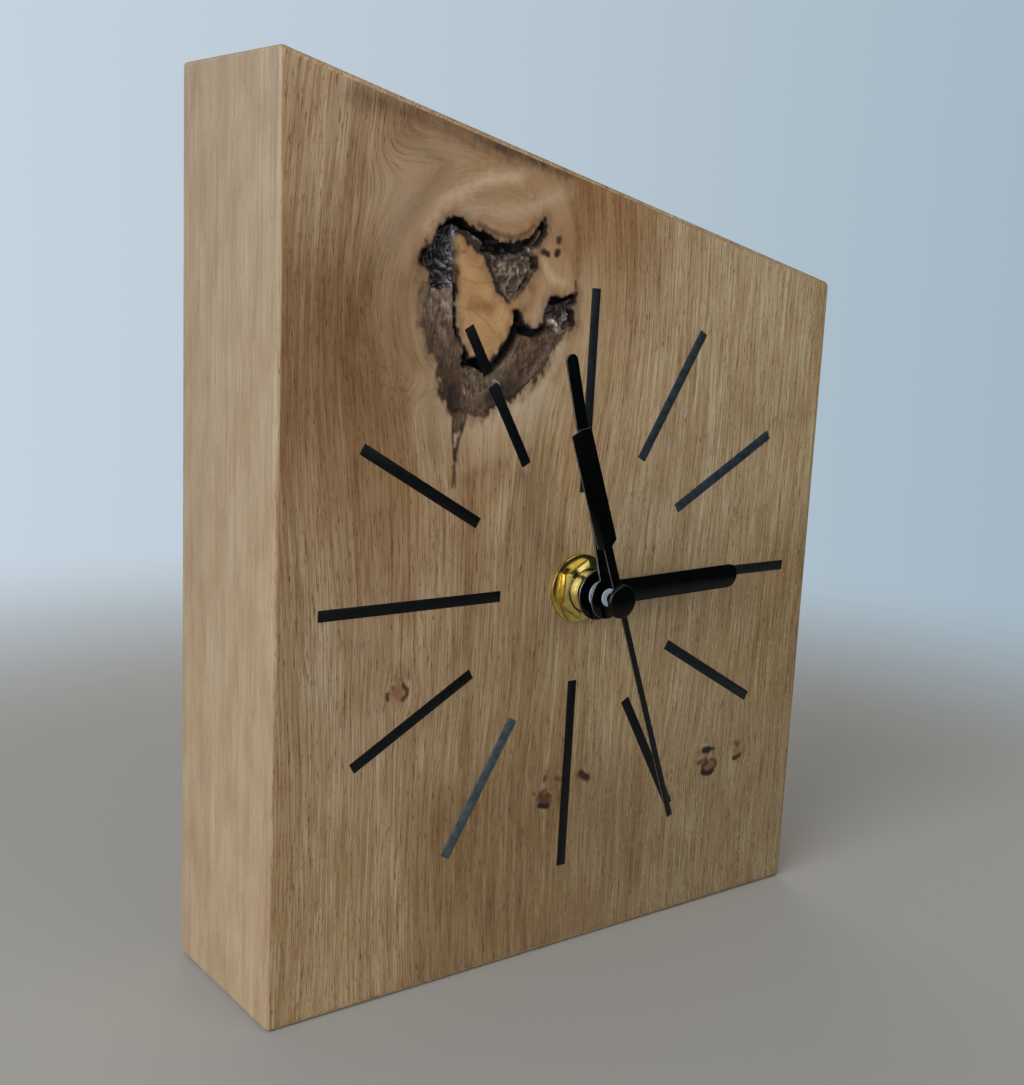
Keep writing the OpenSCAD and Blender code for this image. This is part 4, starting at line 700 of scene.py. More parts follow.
# Pale ray flecks, more of them towards the right, and over all the stains
rightward = node(tree, "SeparateXYZ", {0: node(tree, "TexCoord", {}, out="Object")}, out="X")
flecked = node(tree, "MapRange", {
    "Value": rightward, "From Min": -0.01, "From Max": 0.03, "To Min": 0.06, "To Max": 0.3})
specks = node(tree, "MapRange", {"Value": streaks(0.3, 1.0, 31.9), "From Min": 0.6, "From Max": 0.76})
speck = node(tree, "Math", {0: specks, 1: flecked}, operation="MULTIPLY")
base = node(tree, "Mix", {0: speck, 6: base, 7: "#cbb892"}, out=2, data_type="RGBA")
bare_share = node(tree, "Math", {0: 1.0, 1: tint_share}, operation="SUBTRACT")
base = node(tree, "Mix", {0: 1.0, 6: base, 7: bare_share}, out=2, data_type="RGBA", blend_type="MULTIPLY")
base = node(tree, "Mix", {0: 1.0, 6: base, 7: tint_colour}, out=2, data_type="RGBA", blend_type="ADD")
relief = node(tree, "Math", {0: fine, 1: share}, operation="SUBTRACT")
bumped = node(tree, "Bump", {"Strength": 0.35, "Distance": 0.00006, "Height": relief})
tree.links.new(base, shader.inputs["Base Color"])
tree.links.new(bumped, shader.inputs["Normal"])
dress(block, oak)
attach(block, "block")
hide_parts("oak_block")

# Knot bark: the bark and brown wood that grew into the knot and fill its hollow. It is left as it was
# found, fibrous and matt where it reaches the face, and hardened with a clear wet gloss in the cleft.
bark_w, bark_h, bark_cell = 36, 37, 0.2
bark_middle = Vector((44 - block_w / 2, face_y, 125.5))
bark_lap = 0.45
deepest, shallowest = 3.6, 0.04
bpy.ops.object.select_all(action="DESELECT")
bpy.ops.mesh.primitive_grid_add(
    x_subdivisions=round(bark_w / bark_cell), y_subdivisions=round(bark_h / bark_cell), size=1,
    rotation=(math.pi / 2, 0, 0), location=bark_middle * mm,
)
bark = bpy.context.active_object
bark.name = bark.data.name = "knot_bark_grown"
bark.scale = (bark_w * mm, bark_h * mm, 1)
bpy.ops.object.transform_apply(location=True, rotation=True, scale=True)

# What lies beyond the torn edge and its lap is taken away, and the rest gets a back
middles = np.empty(len(bark.data.polygons) * 3, np.float32)
bark.data.polygons.foreach_get("center", middles)
middles = middles.reshape(-1, 3).astype(float) / mm
outside = reach(middles[:, 0] + block_w / 2, middles[:, 2], torn, True)[0] > bark_lap
edit(bark, "FACE", lambda at, normal: False)
bpy.ops.object.mode_set(mode="OBJECT")
bark.data.polygons.foreach_set("select", outside)
bpy.ops.object.mode_set(mode="EDIT")
bpy.ops.mesh.delete(type="FACE")
bpy.ops.mesh.select_all(action="SELECT")
bpy.ops.mesh.extrude_region_move(TRANSFORM_OT_translate={"value": (0, 0.1 * mm, 0)})
bpy.ops.object.mode_set(mode="OBJECT")

# Its relief: wrinkles in the wet cleft, fibres all over, two crumbly nests, and flush where it is filled
rows = places(bark)
x, z = rows[:, 0] + block_w / 2, rows[:, 2]
rear = rows[:, 1] > face_y + 0.05
colour, depth, wet = grown(x, z)
inside = reach(x, z, torn, True)[0]
filled = 1 - ramp(depth, 0.5, 1.2)
wrinkles = lumps(x + 0.5 * z, z, 0.8, 2.0, 2.2) + 0.5 * lumps(x, z, 0.5, 0.9, 9.1)
fibres = lumps(x, z, 0.5, 1.8, 6.3) + 0.6 * lumps(x, z, 0.25, 0.7, 1.1)
upper_nest = 1 - ramp(np.hypot(x - 47, z - 132.5), 4, 6)
lower_nest = 0.3 * (1 - ramp(np.hypot(x - 53, z - 117.5), 3.5, 6))
crumbly = np.maximum(upper_nest, lower_nest)
ridge = 1 - np.abs(lumps(x + 0.5 * wrinkles, z + 0.5 * fibres, 1.4, 1.5, 5.5)) * 3.0
ridge = ramp(ridge, 0.2, 1)
depth += 0.5 * wet * (1 - filled) * wrinkles + (0.05 + 0.1 * wet) * fibres
depth += 0.35 * (1 - filled) * lumps(x, z, 2.2, 2.2, 7.7)
depth -= 0.5 * crumbly * (ridge - 0.5)
# In the nests the colour is paler on the raised ridges, as the bark is, and darker in the creases between
# them: painted shade
colour *= (1 + crumbly * (0.8 * ridge - 0.45))[:, None]
at_edge = ramp(inside, -1.4, 0)
depth += (shallowest - depth) * at_edge * filled
depth = np.clip(depth, shallowest, deepest) + 3 * np.clip(inside, 0, 1)
rows[:, 1] = face_y + np.where(rear, hollow_depth, depth)
put(bark, rows)
paint(bark, "growth_and_painted_light", np.append(colour, wet[:, None], 1))
edit(bark, "FACE", lambda at, normal: True)
bpy.ops.mesh.normals_make_consistent(inside=False)
finish_edit(bark, 70)

# Ingrown oak bark, raw and partly hardened: brown and crumbly, with crumbs of 0.5 mm across and 1.1 mm
# along the grain, matt where it is dry and with a hard wet gloss in the cleft
crumb_w, crumb_l = 0.5, 1.1
barked, tree, shader = material("oak_bark_ingrown", {"IOR": 1.5})
here = node(tree, "TexCoord", {}, out="Object")
colour_in = node(tree, "Attribute", {}, out="Color", attribute_name="growth_and_painted_light")
wet_in = node(tree, "Attribute", {}, out="Alpha", attribute_name="growth_and_painted_light")
spread = node(tree, "Mapping", {
    "Vector": here, "Scale": (1000 / crumb_w, 1000 / crumb_w, 1000 / crumb_l)})
crumb = node(tree, "TexNoise", {"Vector": spread, "Scale": 1.0, "Detail": 4.0, "Roughness": 0.65})
shade = node(tree, "ValToRGB", {"Fac": crumb}, stops=[(0.3, "#6f6862"), (0.5, "#d8d4ce"), (0.68, "#ffffff")])
base = node(tree, "Mix", {0: 1.0, 6: colour_in, 7: shade}, out=2, data_type="RGBA", blend_type="MULTIPLY")
tree.links.new(base, shader.inputs["Base Color"])
dull = node(tree, "MapRange", {"Value": wet_in, "To Min": 0.85, "To Max": 0.05})
tree.links.new(dull, shader.inputs["Roughness"])
bumped = node(tree, "Bump", {"Strength": 0.7, "Distance": 0.00022, "Height": crumb})
tree.links.new(bumped, shader.inputs["Normal"])
dress(bark, barked)
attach(bark, "block")
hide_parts("knot_bark")

# Hour marks: twelve dark strips glued into grooves and sanded level, the four at the quarters longer.
# The one at eleven is broken where it crosses the cleft. Some, most of all seven, have a painted sheen.
mark_proud = 0.1
mark_edge = 0.12
mark_tone = "#080b0e"
# Strips painted paler, for the sheen they catch: a painted sheen
sheen_painted_tones = {1: "#2c3940", 2: "#2e3a41", 7: "#465357", 12: "#1a2226", 3: "#181f24", 4: "#161c20"}

# Ebonised hardwood, sanded: blue-black and satin, with a fine uneven wear of about 1 mm
dark_strip, tree, shader = material(
    "ebonised_strip_satin", {"Roughness": 0.4, "IOR": 1.4, "Specular IOR Level": 0.3})
here = node(tree, "TexCoord", {}, out="Object")
# Each strip's tone, paler on some: a painted sheen
sanded = node(tree, "Attribute", {}, out="Color", attribute_name="sanded")
wear = node(tree, "TexNoise", {"Vector": here, "Scale": 900.0, "Detail": 4.0})
worn = node(tree, "ValToRGB", {"Fac": wear}, stops=[(0.3, "#b4b4b4"), (0.7, "#ffffff")])
tone = node(tree, "Mix", {0: 1.0, 6: sanded, 7: worn}, out=2, data_type="RGBA", blend_type="MULTIPLY")
dull = node(tree, "MapRange", {"Value": wear, "To Min": 0.34, "To Max": 0.5})
bumped = node(tree, "Bump", {"Strength": 0.3, "Distance": 0.00005, "Height": wear})
tree.links.new(tone, shader.inputs["Base Color"])
tree.links.new(dull, shader.inputs["Roughness"])
tree.links.new(bumped, shader.inputs["Normal"])


def soften(piece, width, segments=2, angle=40):
    """Rounds the sharp edges of a piece by this width in mm."""
    bpy.context.view_layer.objects.active = piece
    modifier = piece.modifiers.new("soften", "BEVEL")
    modifier.width = width * mm
    modifier.segments = segments
    modifier.limit_method = "ANGLE"
    modifier.angle_limit = math.radians(angle)
    bpy.ops.object.modifier_apply(modifier=modifier.name)


for hour in range(1, 13):
    strips = []
    for low, high in stretches_of(hour):
        strips.append(brick(
            f"hour_strip_{hour}", (dial.x - mark_w / 2, face_y - mark_proud, dial.z + low),
            (dial.x + mark_w / 2, face_y + groove_depth, dial.z + high),
        ))
        soften(strips[-1], mark_edge)
        turned_about_dial(strips[-1], 30 * hour + dial_turn)
    strip = joined(strips)
    finish_edit(strip)
    # Each strip's tone is near black, and paler on those with a painted sheen
    strip_tone = np.append(rgb(sheen_painted_tones.get(hour, mark_tone)), 1)
    paint(strip, "sanded", np.tile(strip_tone, (len(strip.data.vertices), 1)))
    dress(strip, dark_strip)
    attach(strip, "block")
    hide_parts(f"hour_mark_{hour}")

# Movement case: moulded from black ABS, with a chamber for the wheels above and an open bay for the battery
# below. It stands in the recess, and its bush passes out through the bore.


def even(name, dark, light, grain_mm, dull, bump_mm, stretch=(1, 1, 1), **sockets):
    """A finish whose colour, gloss and height vary a little, in grains of this size in mm."""
    made, tree, shader = material(name, {key.replace("_", " "): value for key, value in sockets.items()})
    here = node(tree, "TexCoord", {}, out="Object")
    spread = node(tree, "Mapping", {"Vector": here, "Scale": [1000 / (grain_mm * k) for k in stretch]})
    speckle = node(tree, "TexNoise", {"Vector": spread, "Scale": 1.0, "Detail": 4.0})
    tone = node(tree, "ValToRGB", {"Fac": speckle}, stops=[(0.35, dark), (0.68, light)])
    gloss = node(tree, "MapRange", {"Value": speckle, "To Min": dull * 0.8, "To Max": dull * 1.2})
    raised = node(tree, "Bump", {"Strength": 0.5, "Distance": bump_mm * mm, "Height": speckle})
    tree.links.new(tone, shader.inputs["Base Color"])
    tree.links.new(gloss, shader.inputs["Roughness"])
    tree.links.new(raised, shader.inputs["Normal"])
    return made


def copied(name, source):
    """A merged copy of a plain solid, with its flat faces joined, to be refined."""
    piece = bpy.data.objects.new(name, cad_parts[source].data.copy())
    bpy.context.scene.collection.objects.link(piece)
    edit(piece, "VERT", lambda at, normal: True)
    bpy.ops.mesh.remove_doubles(threshold=2e-6)
    bpy.ops.mesh.dissolve_limited(angle_limit=math.radians(1))
    bpy.ops.object.mode_set(mode="OBJECT")
    return piece


# ABS from a spark-eroded mould: charcoal, with an even fine grain that takes the shine off. The grain is
# drawn at 0.35 mm so that it shows.
black_abs = even("abs_moulded_black", "#1a1c1f", "#292d31", 0.35, 0.45, 0.04, IOR=1.53)
case = copied("movement_case_moulded", "movement_case")
soften(case, 0.15)
finish_edit(case, 20)
dress(case, black_abs)
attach(case, "block")
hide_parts("movement_case")

# Train plate, wheels and arbors: all moulded in acetal or polystyrene, but for the second arbor, which is
# drawn steel. Only the ends of the hour tube and the minute arbor show, between the hands' eyes.


def finished(finishes):
    """Gives CAD nodes whose shape is right their materials."""
    for name, finish in finishes.items():
        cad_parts[name].material_slots[0].material = finish


# Polystyrene, moulded: plain opaque white with a soft shine
white = even("polystyrene_moulded_white", "#cbc9c0", "#dbd9d0", 0.9, 0.4, 0.01, IOR=1.59)
# Acetal, moulded: smooth and waxy, ivory as it comes, and a pale cool grey for the tube and the arbor
ivory = even("acetal_moulded_ivory", "#d0c9b2", "#e2dcc6", 0.8, 0.32, 0.008, IOR=1.48)
pale_blue = even("acetal_moulded_pale", "#a9b6be", "#bcc8ce", 0.6, 0.28, 0.008, IOR=1.48)
# Steel, drawn: bright, with fine lines along it, drawn at 0.2 mm so that they show
steel = even("steel_drawn_bright", "#8c9195", "#aaaeb2", 0.2, 0.26, 0.004, (1, 12, 1), Metallic=1.0)
finished({
    "train_plate": white, "hour_wheel": pale_blue, "minute_arbor": pale_blue, "motion_wheel": ivory,
    "centre_wheel": ivory, "third_wheel": ivory, "second_wheel": ivory, "intermediate_wheel": ivory,
    "rotor_pinion": ivory, "second_arbor": steel,
})

# Motor: a sintered ferrite magnet on the rotor's pinion, a stator and a core stamped from silicon iron,
# and a bobbin of nylon wound with enamelled copper wire.

# Silicon iron, rolled and stamped: mid grey, with rolling lines along its length
iron = even("silicon_iron_stamped", "#7f8488", "#989da1", 0.3, 0.4, 0.006, (8, 1, 1), Metallic=1.0)
# Ferrite, pressed and sintered: dark grey, matt and slightly grainy
ferrite = even("ferrite_sintered", "#343537", "#4a4b4d", 0.25, 0.55, 0.02)
# Nylon, moulded: green and satin
nylon = even("nylon_moulded_green", "#2a6249", "#34745a", 0.7, 0.42, 0.01, IOR=1.53)
# Enamelled copper wire, wound: red-brown, with a painted highlight along each turn and painted shade between
# the turns. The real wire is far thinner, and its turns are drawn at 0.6 mm so that they show.
wire_pitch = 0.6
wound, tree, shader = material("copper_wire_enamelled", {"Metallic": 1.0, "Roughness": 0.3})
here = node(tree, "TexCoord", {}, out="Object")
turns_scale = 2 * math.pi / 20 / (wire_pitch * mm)
wires = node(tree, "TexWave", {"Vector": here, "Scale": turns_scale, "Distortion": 0.4})
tone = node(tree, "ValToRGB", {"Fac": wires}, stops=[(0.0, "#6e3218"), (0.6, "#c9743c")])
raised = node(tree, "Bump", {"Strength": 0.8, "Distance": 0.0001, "Height": wires})
tree.links.new(tone, shader.inputs["Base Color"])
tree.links.new(raised, shader.inputs["Normal"])
finished({
    "stator": iron, "coil_core": iron, "rotor_magnet": ferrite, "coil_bobbin": nylon,
    "coil_winding": wound,
})

# Circuit board with its crystal, the chip under a drop of black resin, and the two contacts: glass-fibre
# laminate with a green resist over copper tracks, a nickel can, and tinned spring steel.

# Resist, printed over tracks and glass weave: deep green, a shade paler over the copper, and glossy
resist, tree, shader = material("laminate_green_resist", {"Roughness": 0.35})
here = node(tree, "TexCoord", {}, out="Object")
upright = node(tree, "Mapping", {"Vector": here, "Rotation": (math.pi / 2, 0, 0)})
tracks = node(tree, "TexBrick", {
    "Vector": upright, "Scale": 450.0, "Color1": "#24603d", "Color2": "#2b6b45", "Mortar": "#1c4a31",
    "Mortar Size": 0.12})
weave = node(tree, "TexNoise", {"Vector": here, "Scale": 3000.0, "Detail": 2.0})
raised = node(tree, "Bump", {"Strength": 0.4, "Distance": 0.00002, "Height": weave})
tree.links.new(tracks, shader.inputs["Base Color"])
tree.links.new(raised, shader.inputs["Normal"])
# Nickel silver, drawn: warm grey and bright, with fine lines up the can
nickel = even("nickel_silver_drawn", "#a3a6a4", "#babdba", 0.2, 0.25, 0.004, (1, 1, 10), Metallic=1.0)
# Spring steel, tinned: pale with a soft shine
tinned = even("spring_steel_tinned", "#9fa29c", "#bfc2bb", 0.5, 0.3, 0.006, Metallic=1.0)
# Epoxy, cast as a drop: black and glossy
resin = even("epoxy_black_cast", "#0b0b0c", "#151517", 0.9, 0.18, 0.01, IOR=1.55)
finished({
    "circuit_board": resist, "quartz_crystal": nickel, "chip_drop": resin, "positive_contact": tinned,
    "negative_contact": tinned,
})

# Rear cover: moulded from the same black ABS and snapped over the wheels. A low collar stands round the
# knob's shaft, and an arrow for setting, the signs of the battery's ends and four ejector marks are sunk.
cover_back = 7.85
sign_floor, dimple_floor, past_cover = 7.45, 7.6, 8.5
sign_z, plus_x, minus_x = 65.4, 22, -21.2
sign_arm, sign_stroke = 1.5, 0.3
dimple_r = 1.1
dimples = [(-23.4, 98), (24.2, 98), (-23.4, 80), (24.2, 80)]
knob_x = 12
arrow_r, arrow_w, head_w, head_l = 10.2, 0.8, 2.6, 2.5


def turned(name, profile, middle=dial, steps=64, axis=(0, 1, 0)):
    """A piece turned on a lathe about an axis, from an outline of radius and place along it in mm. The
    outline closes on itself unless it starts and ends on the axis."""
    bpy.ops.object.select_all(action="DESELECT")
    bpy.ops.mesh.primitive_plane_add(size=0.001)
    piece = bpy.context.active_object
    piece.name = piece.data.name = name
    bpy.ops.object.mode_set(mode="EDIT")
    bpy.ops.mesh.select_mode(type="VERT")
    bpy.ops.mesh.select_all(action="SELECT")
    bpy.ops.mesh.merge(type="CENTER")
    along = Vector(axis)
    out = Vector((1, 0, 0)) if along.y else Vector((0, 0, 1))
    points = [(middle + out * r + along * (y - middle.dot(along))) * mm for r, y in profile]
    bpy.ops.transform.translate(value=points[0])
    if profile[0][0] or profile[-1][0]:
        points.append(points[0])
    for start, end in zip(points, points[1:]):
        bpy.ops.mesh.extrude_vertices_move(TRANSFORM_OT_translate={"value": end - start})
    bpy.ops.mesh.select_all(action="SELECT")
    bpy.ops.mesh.remove_doubles(threshold=1e-6)
    bpy.ops.mesh.spin(steps=steps, angle=2 * math.pi, center=middle * mm, axis=axis)
    bpy.ops.mesh.select_all(action="SELECT")
    bpy.ops.mesh.remove_doubles(threshold=1e-6)
    bpy.ops.mesh.normals_make_consistent(inside=False)
    finish_edit(piece)
    return piece


def stamped(name, outline, front, thickness, edge=0.06):
    """A flat piece, as stamped from sheet, from its outline in mm from the hand axis, pointing up."""
    bpy.ops.object.select_all(action="DESELECT")
    bpy.ops.mesh.primitive_plane_add(size=0.001)
    piece = bpy.context.active_object
    piece.name = piece.data.name = name
    bpy.ops.object.mode_set(mode="EDIT")
    bpy.ops.mesh.select_mode(type="VERT")
    bpy.ops.mesh.select_all(action="SELECT")
    bpy.ops.mesh.merge(type="CENTER")
    points = [(dial + Vector((a, front - dial.y, b))) * mm for a, b in outline]
    bpy.ops.transform.translate(value=points[0])
    for start, end in zip(points, points[1:] + points[:1]):
        bpy.ops.mesh.extrude_vertices_move(TRANSFORM_OT_translate={"value": end - start})
    bpy.ops.mesh.select_all(action="SELECT")
    bpy.ops.mesh.remove_doubles(threshold=1e-6)
    bpy.ops.mesh.edge_face_add()
    bpy.ops.mesh.extrude_region_move(TRANSFORM_OT_translate={"value": (0, thickness * mm, 0)})
    bpy.ops.mesh.select_all(action="SELECT")
    bpy.ops.mesh.normals_make_consistent(inside=False)
    bpy.ops.object.mode_set(mode="OBJECT")
    soften(piece, edge, 2, 50)
    return piece


def arc(x, z, r, start, end, steps):
    """Points on an arc, with its angles clockwise from the top."""
    angles = [math.radians(start + (end - start) * i / steps) for i in range(steps + 1)]
    return [(x + r * math.sin(a), z + r * math.cos(a)) for a in angles]


cover = copied("rear_cover_moulded", "rear_cover")
arrow = arc(knob_x, 0, arrow_r + arrow_w / 2, 300, 355, 16)
arrow += arc(knob_x, 0, arrow_r - arrow_w / 2, 355, 300, 16)
head_x = knob_x - 0.6
head = [(head_x, arrow_r - head_w / 2), (head_x, arrow_r + head_w / 2), (head_x + head_l, arrow_r)]
signs = [
    brick("sunk", (x - w, sign_floor, sign_z - h), (x + w, past_cover, sign_z + h))
    for x, w, h in [
        (plus_x, sign_arm, sign_stroke), (plus_x, sign_stroke, sign_arm), (minus_x, sign_arm, sign_stroke)]]
signs += [stamped("sunk", outline, sign_floor, past_cover - sign_floor, 0.01) for outline in (arrow, head)]
for x, z in dimples:
    signs.append(turned("sunk", [
        (0, dimple_floor), (dimple_r, dimple_floor), (dimple_r, past_cover), (0, past_cover)],
        Vector((x, 0, z)), 32))
for sign in signs:
    cut(cover, sign)
soften(cover, 0.12)
collar_in, collar_out, collar_back = 7.2, 8.15, cover_back + 0.25
collar = turned("collar", [
    (collar_in, cover_back - 0.15), (collar_in, collar_back - 0.1), (collar_in + 0.1, collar_back),
    (collar_out - 0.15, collar_back), (collar_out, collar_back - 0.15), (collar_out, cover_back - 0.15),
], dial + Vector((knob_x, 0, 0)), 96)
joined([cover, collar])
finish_edit(cover, 20)
dress(cover, black_abs)
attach(cover, "block")
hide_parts("rear_cover")

# Setting knob: moulded from the same black ABS with a ribbed rim and a dished end, on a shaft that
# carries the motion wheel.
knob = copied("setting_knob_moulded", "setting_knob")
soften(knob, 0.1, 2, 50)
finish_edit(knob, 20)
dress(knob, black_abs)
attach(knob, "setting")
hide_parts("setting_knob")

# Rubber gasket: a ring punched from black sheet rubber. Pressed between the movement and the wood, it
# keeps the movement from turning.
gasket_bore, gasket_r, gasket_edge = 4.02, 11, 0.12
case_front = -8.15
gasket = turned("rubber_gasket_punched", [
    (gasket_bore, case_front), (gasket_bore, recess_floor), (gasket_r - gasket_edge, recess_floor),
    (gasket_r, recess_floor + gasket_edge), (gasket_r, case_front - gasket_edge),
    (gasket_r - gasket_edge, case_front),
], steps=96)

# Sheet rubber, rolled: matt, near black and slightly dusty
rubber = even("rubber_sheet_rolled", "#151515", "#242322", 0.5, 0.75, 0.02)
dress(gasket, rubber)
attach(gasket, "block")
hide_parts("rubber_gasket")

# Brass washer, hexagon nut and threaded bush: turned from brass bar and polished. The bush comes out
# through the bore, and the nut on it pulls the movement, gasket and washer tight against the wood.
washer_bore, washer_r, washer_t = 4.15, 6.7, 0.6
washer_front = face_y - washer_t
washer = turned("brass_washer_turned", [
    (washer_bore, face_y), (washer_bore, washer_front + 0.1), (washer_bore + 0.1, washer_front),
    (washer_r - 0.25, washer_front), (washer_r - 0.07, washer_front + 0.07),
    (washer_r, washer_front + 0.25), (washer_r, face_y),
], steps=96)
nut_flats, nut_bore, nut_front, nut_back = 10.2, 4.02, -21.15, washer_front
nut_turn, nut_chamfer, countersink_r = 5, 0.8, 5.4
nut_corner = nut_flats / 2 / math.cos(math.pi / 6)
bpy.ops.object.select_all(action="DESELECT")
bpy.ops.mesh.primitive_cylinder_add(
    vertices=6, radius=nut_corner * mm, depth=(nut_back - nut_front) * mm,
    location=Vector((dial.x, (nut_front + nut_back) / 2, dial.z)) * mm, rotation=(math.pi / 2, 0, 0),
)
nut = bpy.context.active_object
nut.name = nut.data.name = "hex_nut_turned"
bpy.ops.object.transform_apply(location=True, rotation=True, scale=True)
turned_about_dial(nut, nut_turn)
cut(nut, turned("blank", [
    (0, nut_front), (nut_corner - 2 * nut_chamfer, nut_front), (nut_corner, nut_front + nut_chamfer),
    (nut_corner, nut_back), (0, nut_back)], steps=96), "INTERSECT")
cut(nut, turned("bore", [
    (0, nut_front - 1), (countersink_r, nut_front - 1), (nut_bore, nut_front + 0.4),
    (nut_bore, nut_back + 1), (0, nut_back + 1)], steps=96))
soften(nut, 0.07)
finish_edit(nut)

# The bush's outline: its bore, its chamfered front, a narrow crest for each turn of the thread, and the
# flange that holds it in the case
bush_front, bush_r, bush_bore = -22.35, 4.0, 2.66
thread_pitch, thread_turns, thread_r = 0.75, 17, bush_r - 0.3
flange_r, flange_back = 6, -6.95
coils = [(thread_r, bush_front + 0.12)]
for turn in range(thread_turns):
    start = bush_front + turn * thread_pitch
    coils += [(thread_r, start + 0.2), (bush_r, start + 0.5), (bush_r, start + 0.62)]
bush = turned("threaded_bush_turned", [
    (bush_bore, flange_back - 0.05), (bush_bore, bush_front + 0.15), (bush_bore + 0.14, bush_front),
    (bush_r - 0.42, bush_front)] + coils + [
    (thread_r, case_front), (flange_r, case_front), (flange_r, flange_back), (bush_bore, flange_back),
], steps=96)

# Yellow brass, turned and polished: warm and bright, with the fine rings that the tool leaves, drawn at
# 0.12 mm so that they show, and a little darkening.
brass, tree, shader = material("brass_turned_polished", {"Metallic": 1.0, "Roughness": 0.16})
here = node(tree, "TexCoord", {}, out="Object")
centred = node(tree, "VectorMath", {0: here, 1: -dial * mm}, operation="ADD")
flat = node(tree, "VectorMath", {0: centred, 1: (1, 0, 1)}, operation="MULTIPLY")
radius = node(tree, "VectorMath", {0: flat}, out="Value", operation="LENGTH")
rings = node(tree, "CombineXYZ", {"X": radius})
ring = node(tree, "TexNoise", {"Vector": rings, "Scale": 8000.0, "Detail": 2.0})
cloud = node(tree, "TexNoise", {"Vector": here, "Scale": 700.0, "Detail": 3.0})
tone = node(tree, "ValToRGB", {"Fac": cloud}, stops=[(0.3, "#c8ad5c"), (0.7, "#e0ca7c")])
dull = node(tree, "MapRange", {"Value": cloud, "To Min": 0.1, "To Max": 0.26})
bumped = node(tree, "Bump", {"Strength": 0.25, "Distance": 0.00003, "Height": ring})
tree.links.new(tone, shader.inputs["Base Color"])
tree.links.new(dull, shader.inputs["Roughness"])
tree.links.new(bumped, shader.inputs["Normal"])
for piece, replaced in [(washer, "brass_washer"), (nut, "hex_nut"), (bush, "threaded_bush")]:
    dress(piece, brass)
    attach(piece, "block")
    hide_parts(replaced)

# Hour and minute hands: stamped from thin aluminium sheet, each with a round eye pressed on a collar, and
# lacquered gloss black. The cut edges show as thin pale lines.
hand_t, collar_l, collar_wall = 0.4, 1.6, 0.68


def blade(width, length, eye):
    """Outline of a hand: a straight blade with a round end, on a round eye."""
    tip = arc(0, length - width / 2, width / 2, -90, 90, 16)
    foot = math.degrees(math.asin(width / 2 / eye))
    return tip + arc(0, 0, eye, foot, 360 - foot, 48)


# Lacquer, sprayed and stoved on aluminium: black and glossy, with a faint orange peel of 0.7 mm
lacquer, tree, shader = material(
    "aluminium_black_lacquer", {"Roughness": 0.12, "IOR": 1.45, "Specular IOR Level": 0.25})
here = node(tree, "TexCoord", {}, out="Object")
cloud = node(tree, "TexNoise", {"Vector": here, "Scale": 260.0, "Detail": 3.0})
tone = node(tree, "ValToRGB", {"Fac": cloud}, stops=[(0.35, "#020303"), (0.7, "#060707")])
dull = node(tree, "MapRange", {"Value": cloud, "To Min": 0.08, "To Max": 0.16})
orange_peel = node(tree, "TexNoise", {"Vector": here, "Scale": 1500.0, "Detail": 1.0})
bumped = node(tree, "Bump", {"Strength": 0.12, "Distance": 0.00004, "Height": orange_peel})
tree.links.new(tone, shader.inputs["Base Color"])
tree.links.new(dull, shader.inputs["Roughness"])
tree.links.new(bumped, shader.inputs["Normal"])

# Bare aluminium where the sheet was cut: pale grey, with scratches drawn at 0.4 mm so that they show
bare, tree, shader = material("aluminium_cut_edge", {"Metallic": 1.0, "Roughness": 0.35})
here = node(tree, "TexCoord", {}, out="Object")
scratch = node(tree, "TexNoise", {"Vector": here, "Scale": 2500.0, "Detail": 3.0})
tone = node(tree, "ValToRGB", {"Fac": scratch}, stops=[(0.3, "#6d7073"), (0.7, "#a9adb0")])
dull = node(tree, "MapRange", {"Value": scratch, "To Min": 0.28, "To Max": 0.5})
tree.links.new(tone, shader.inputs["Base Color"])
tree.links.new(dull, shader.inputs["Roughness"])


def show_edges(piece, front, thickness):
    """Gives the cut edges of a stamped piece the bare metal."""
    dress(piece, lacquer, bare)
    for face in piece.data.polygons:
        depth = face.center.y / mm - front
        face.material_index = int(abs(face.normal.y) < 0.5 and 0.02 < depth < thickness - 0.02)


# Each hand's width, length, eye's radius, front, bore's radius, angle as shown, and body
for name, width, length, eye, front, bore, angle, body in [
    ("hour_hand", 4.8, 36.5, 4.9, -24.65, 2.62, 89.22, "hour"),
    ("minute_hand", 2.6, 47, 4.1, -27.3, 1.72, 345.16, "minute"),
]:
    hand = stamped(name + "_stamped", blade(width, length, eye), front, hand_t)
    seat, back = front + hand_t / 2, front + collar_l
    collar = turned("collar", [
        (bore, seat), (bore, back), (bore + collar_wall - 0.08, back), (bore + collar_wall, back - 0.1),
        (bore + collar_wall, seat)])
    cut(hand, turned("eye_bore", [(0, front - 1), (bore, front - 1), (bore, front + 1), (0, front + 1)]))
    show_edges(hand, front, hand_t)
    dress(collar, lacquer)
    joined([hand, collar])
    turned_about_dial(hand, angle)
    finish_edit(hand)
    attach(hand, body)
    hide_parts(name)

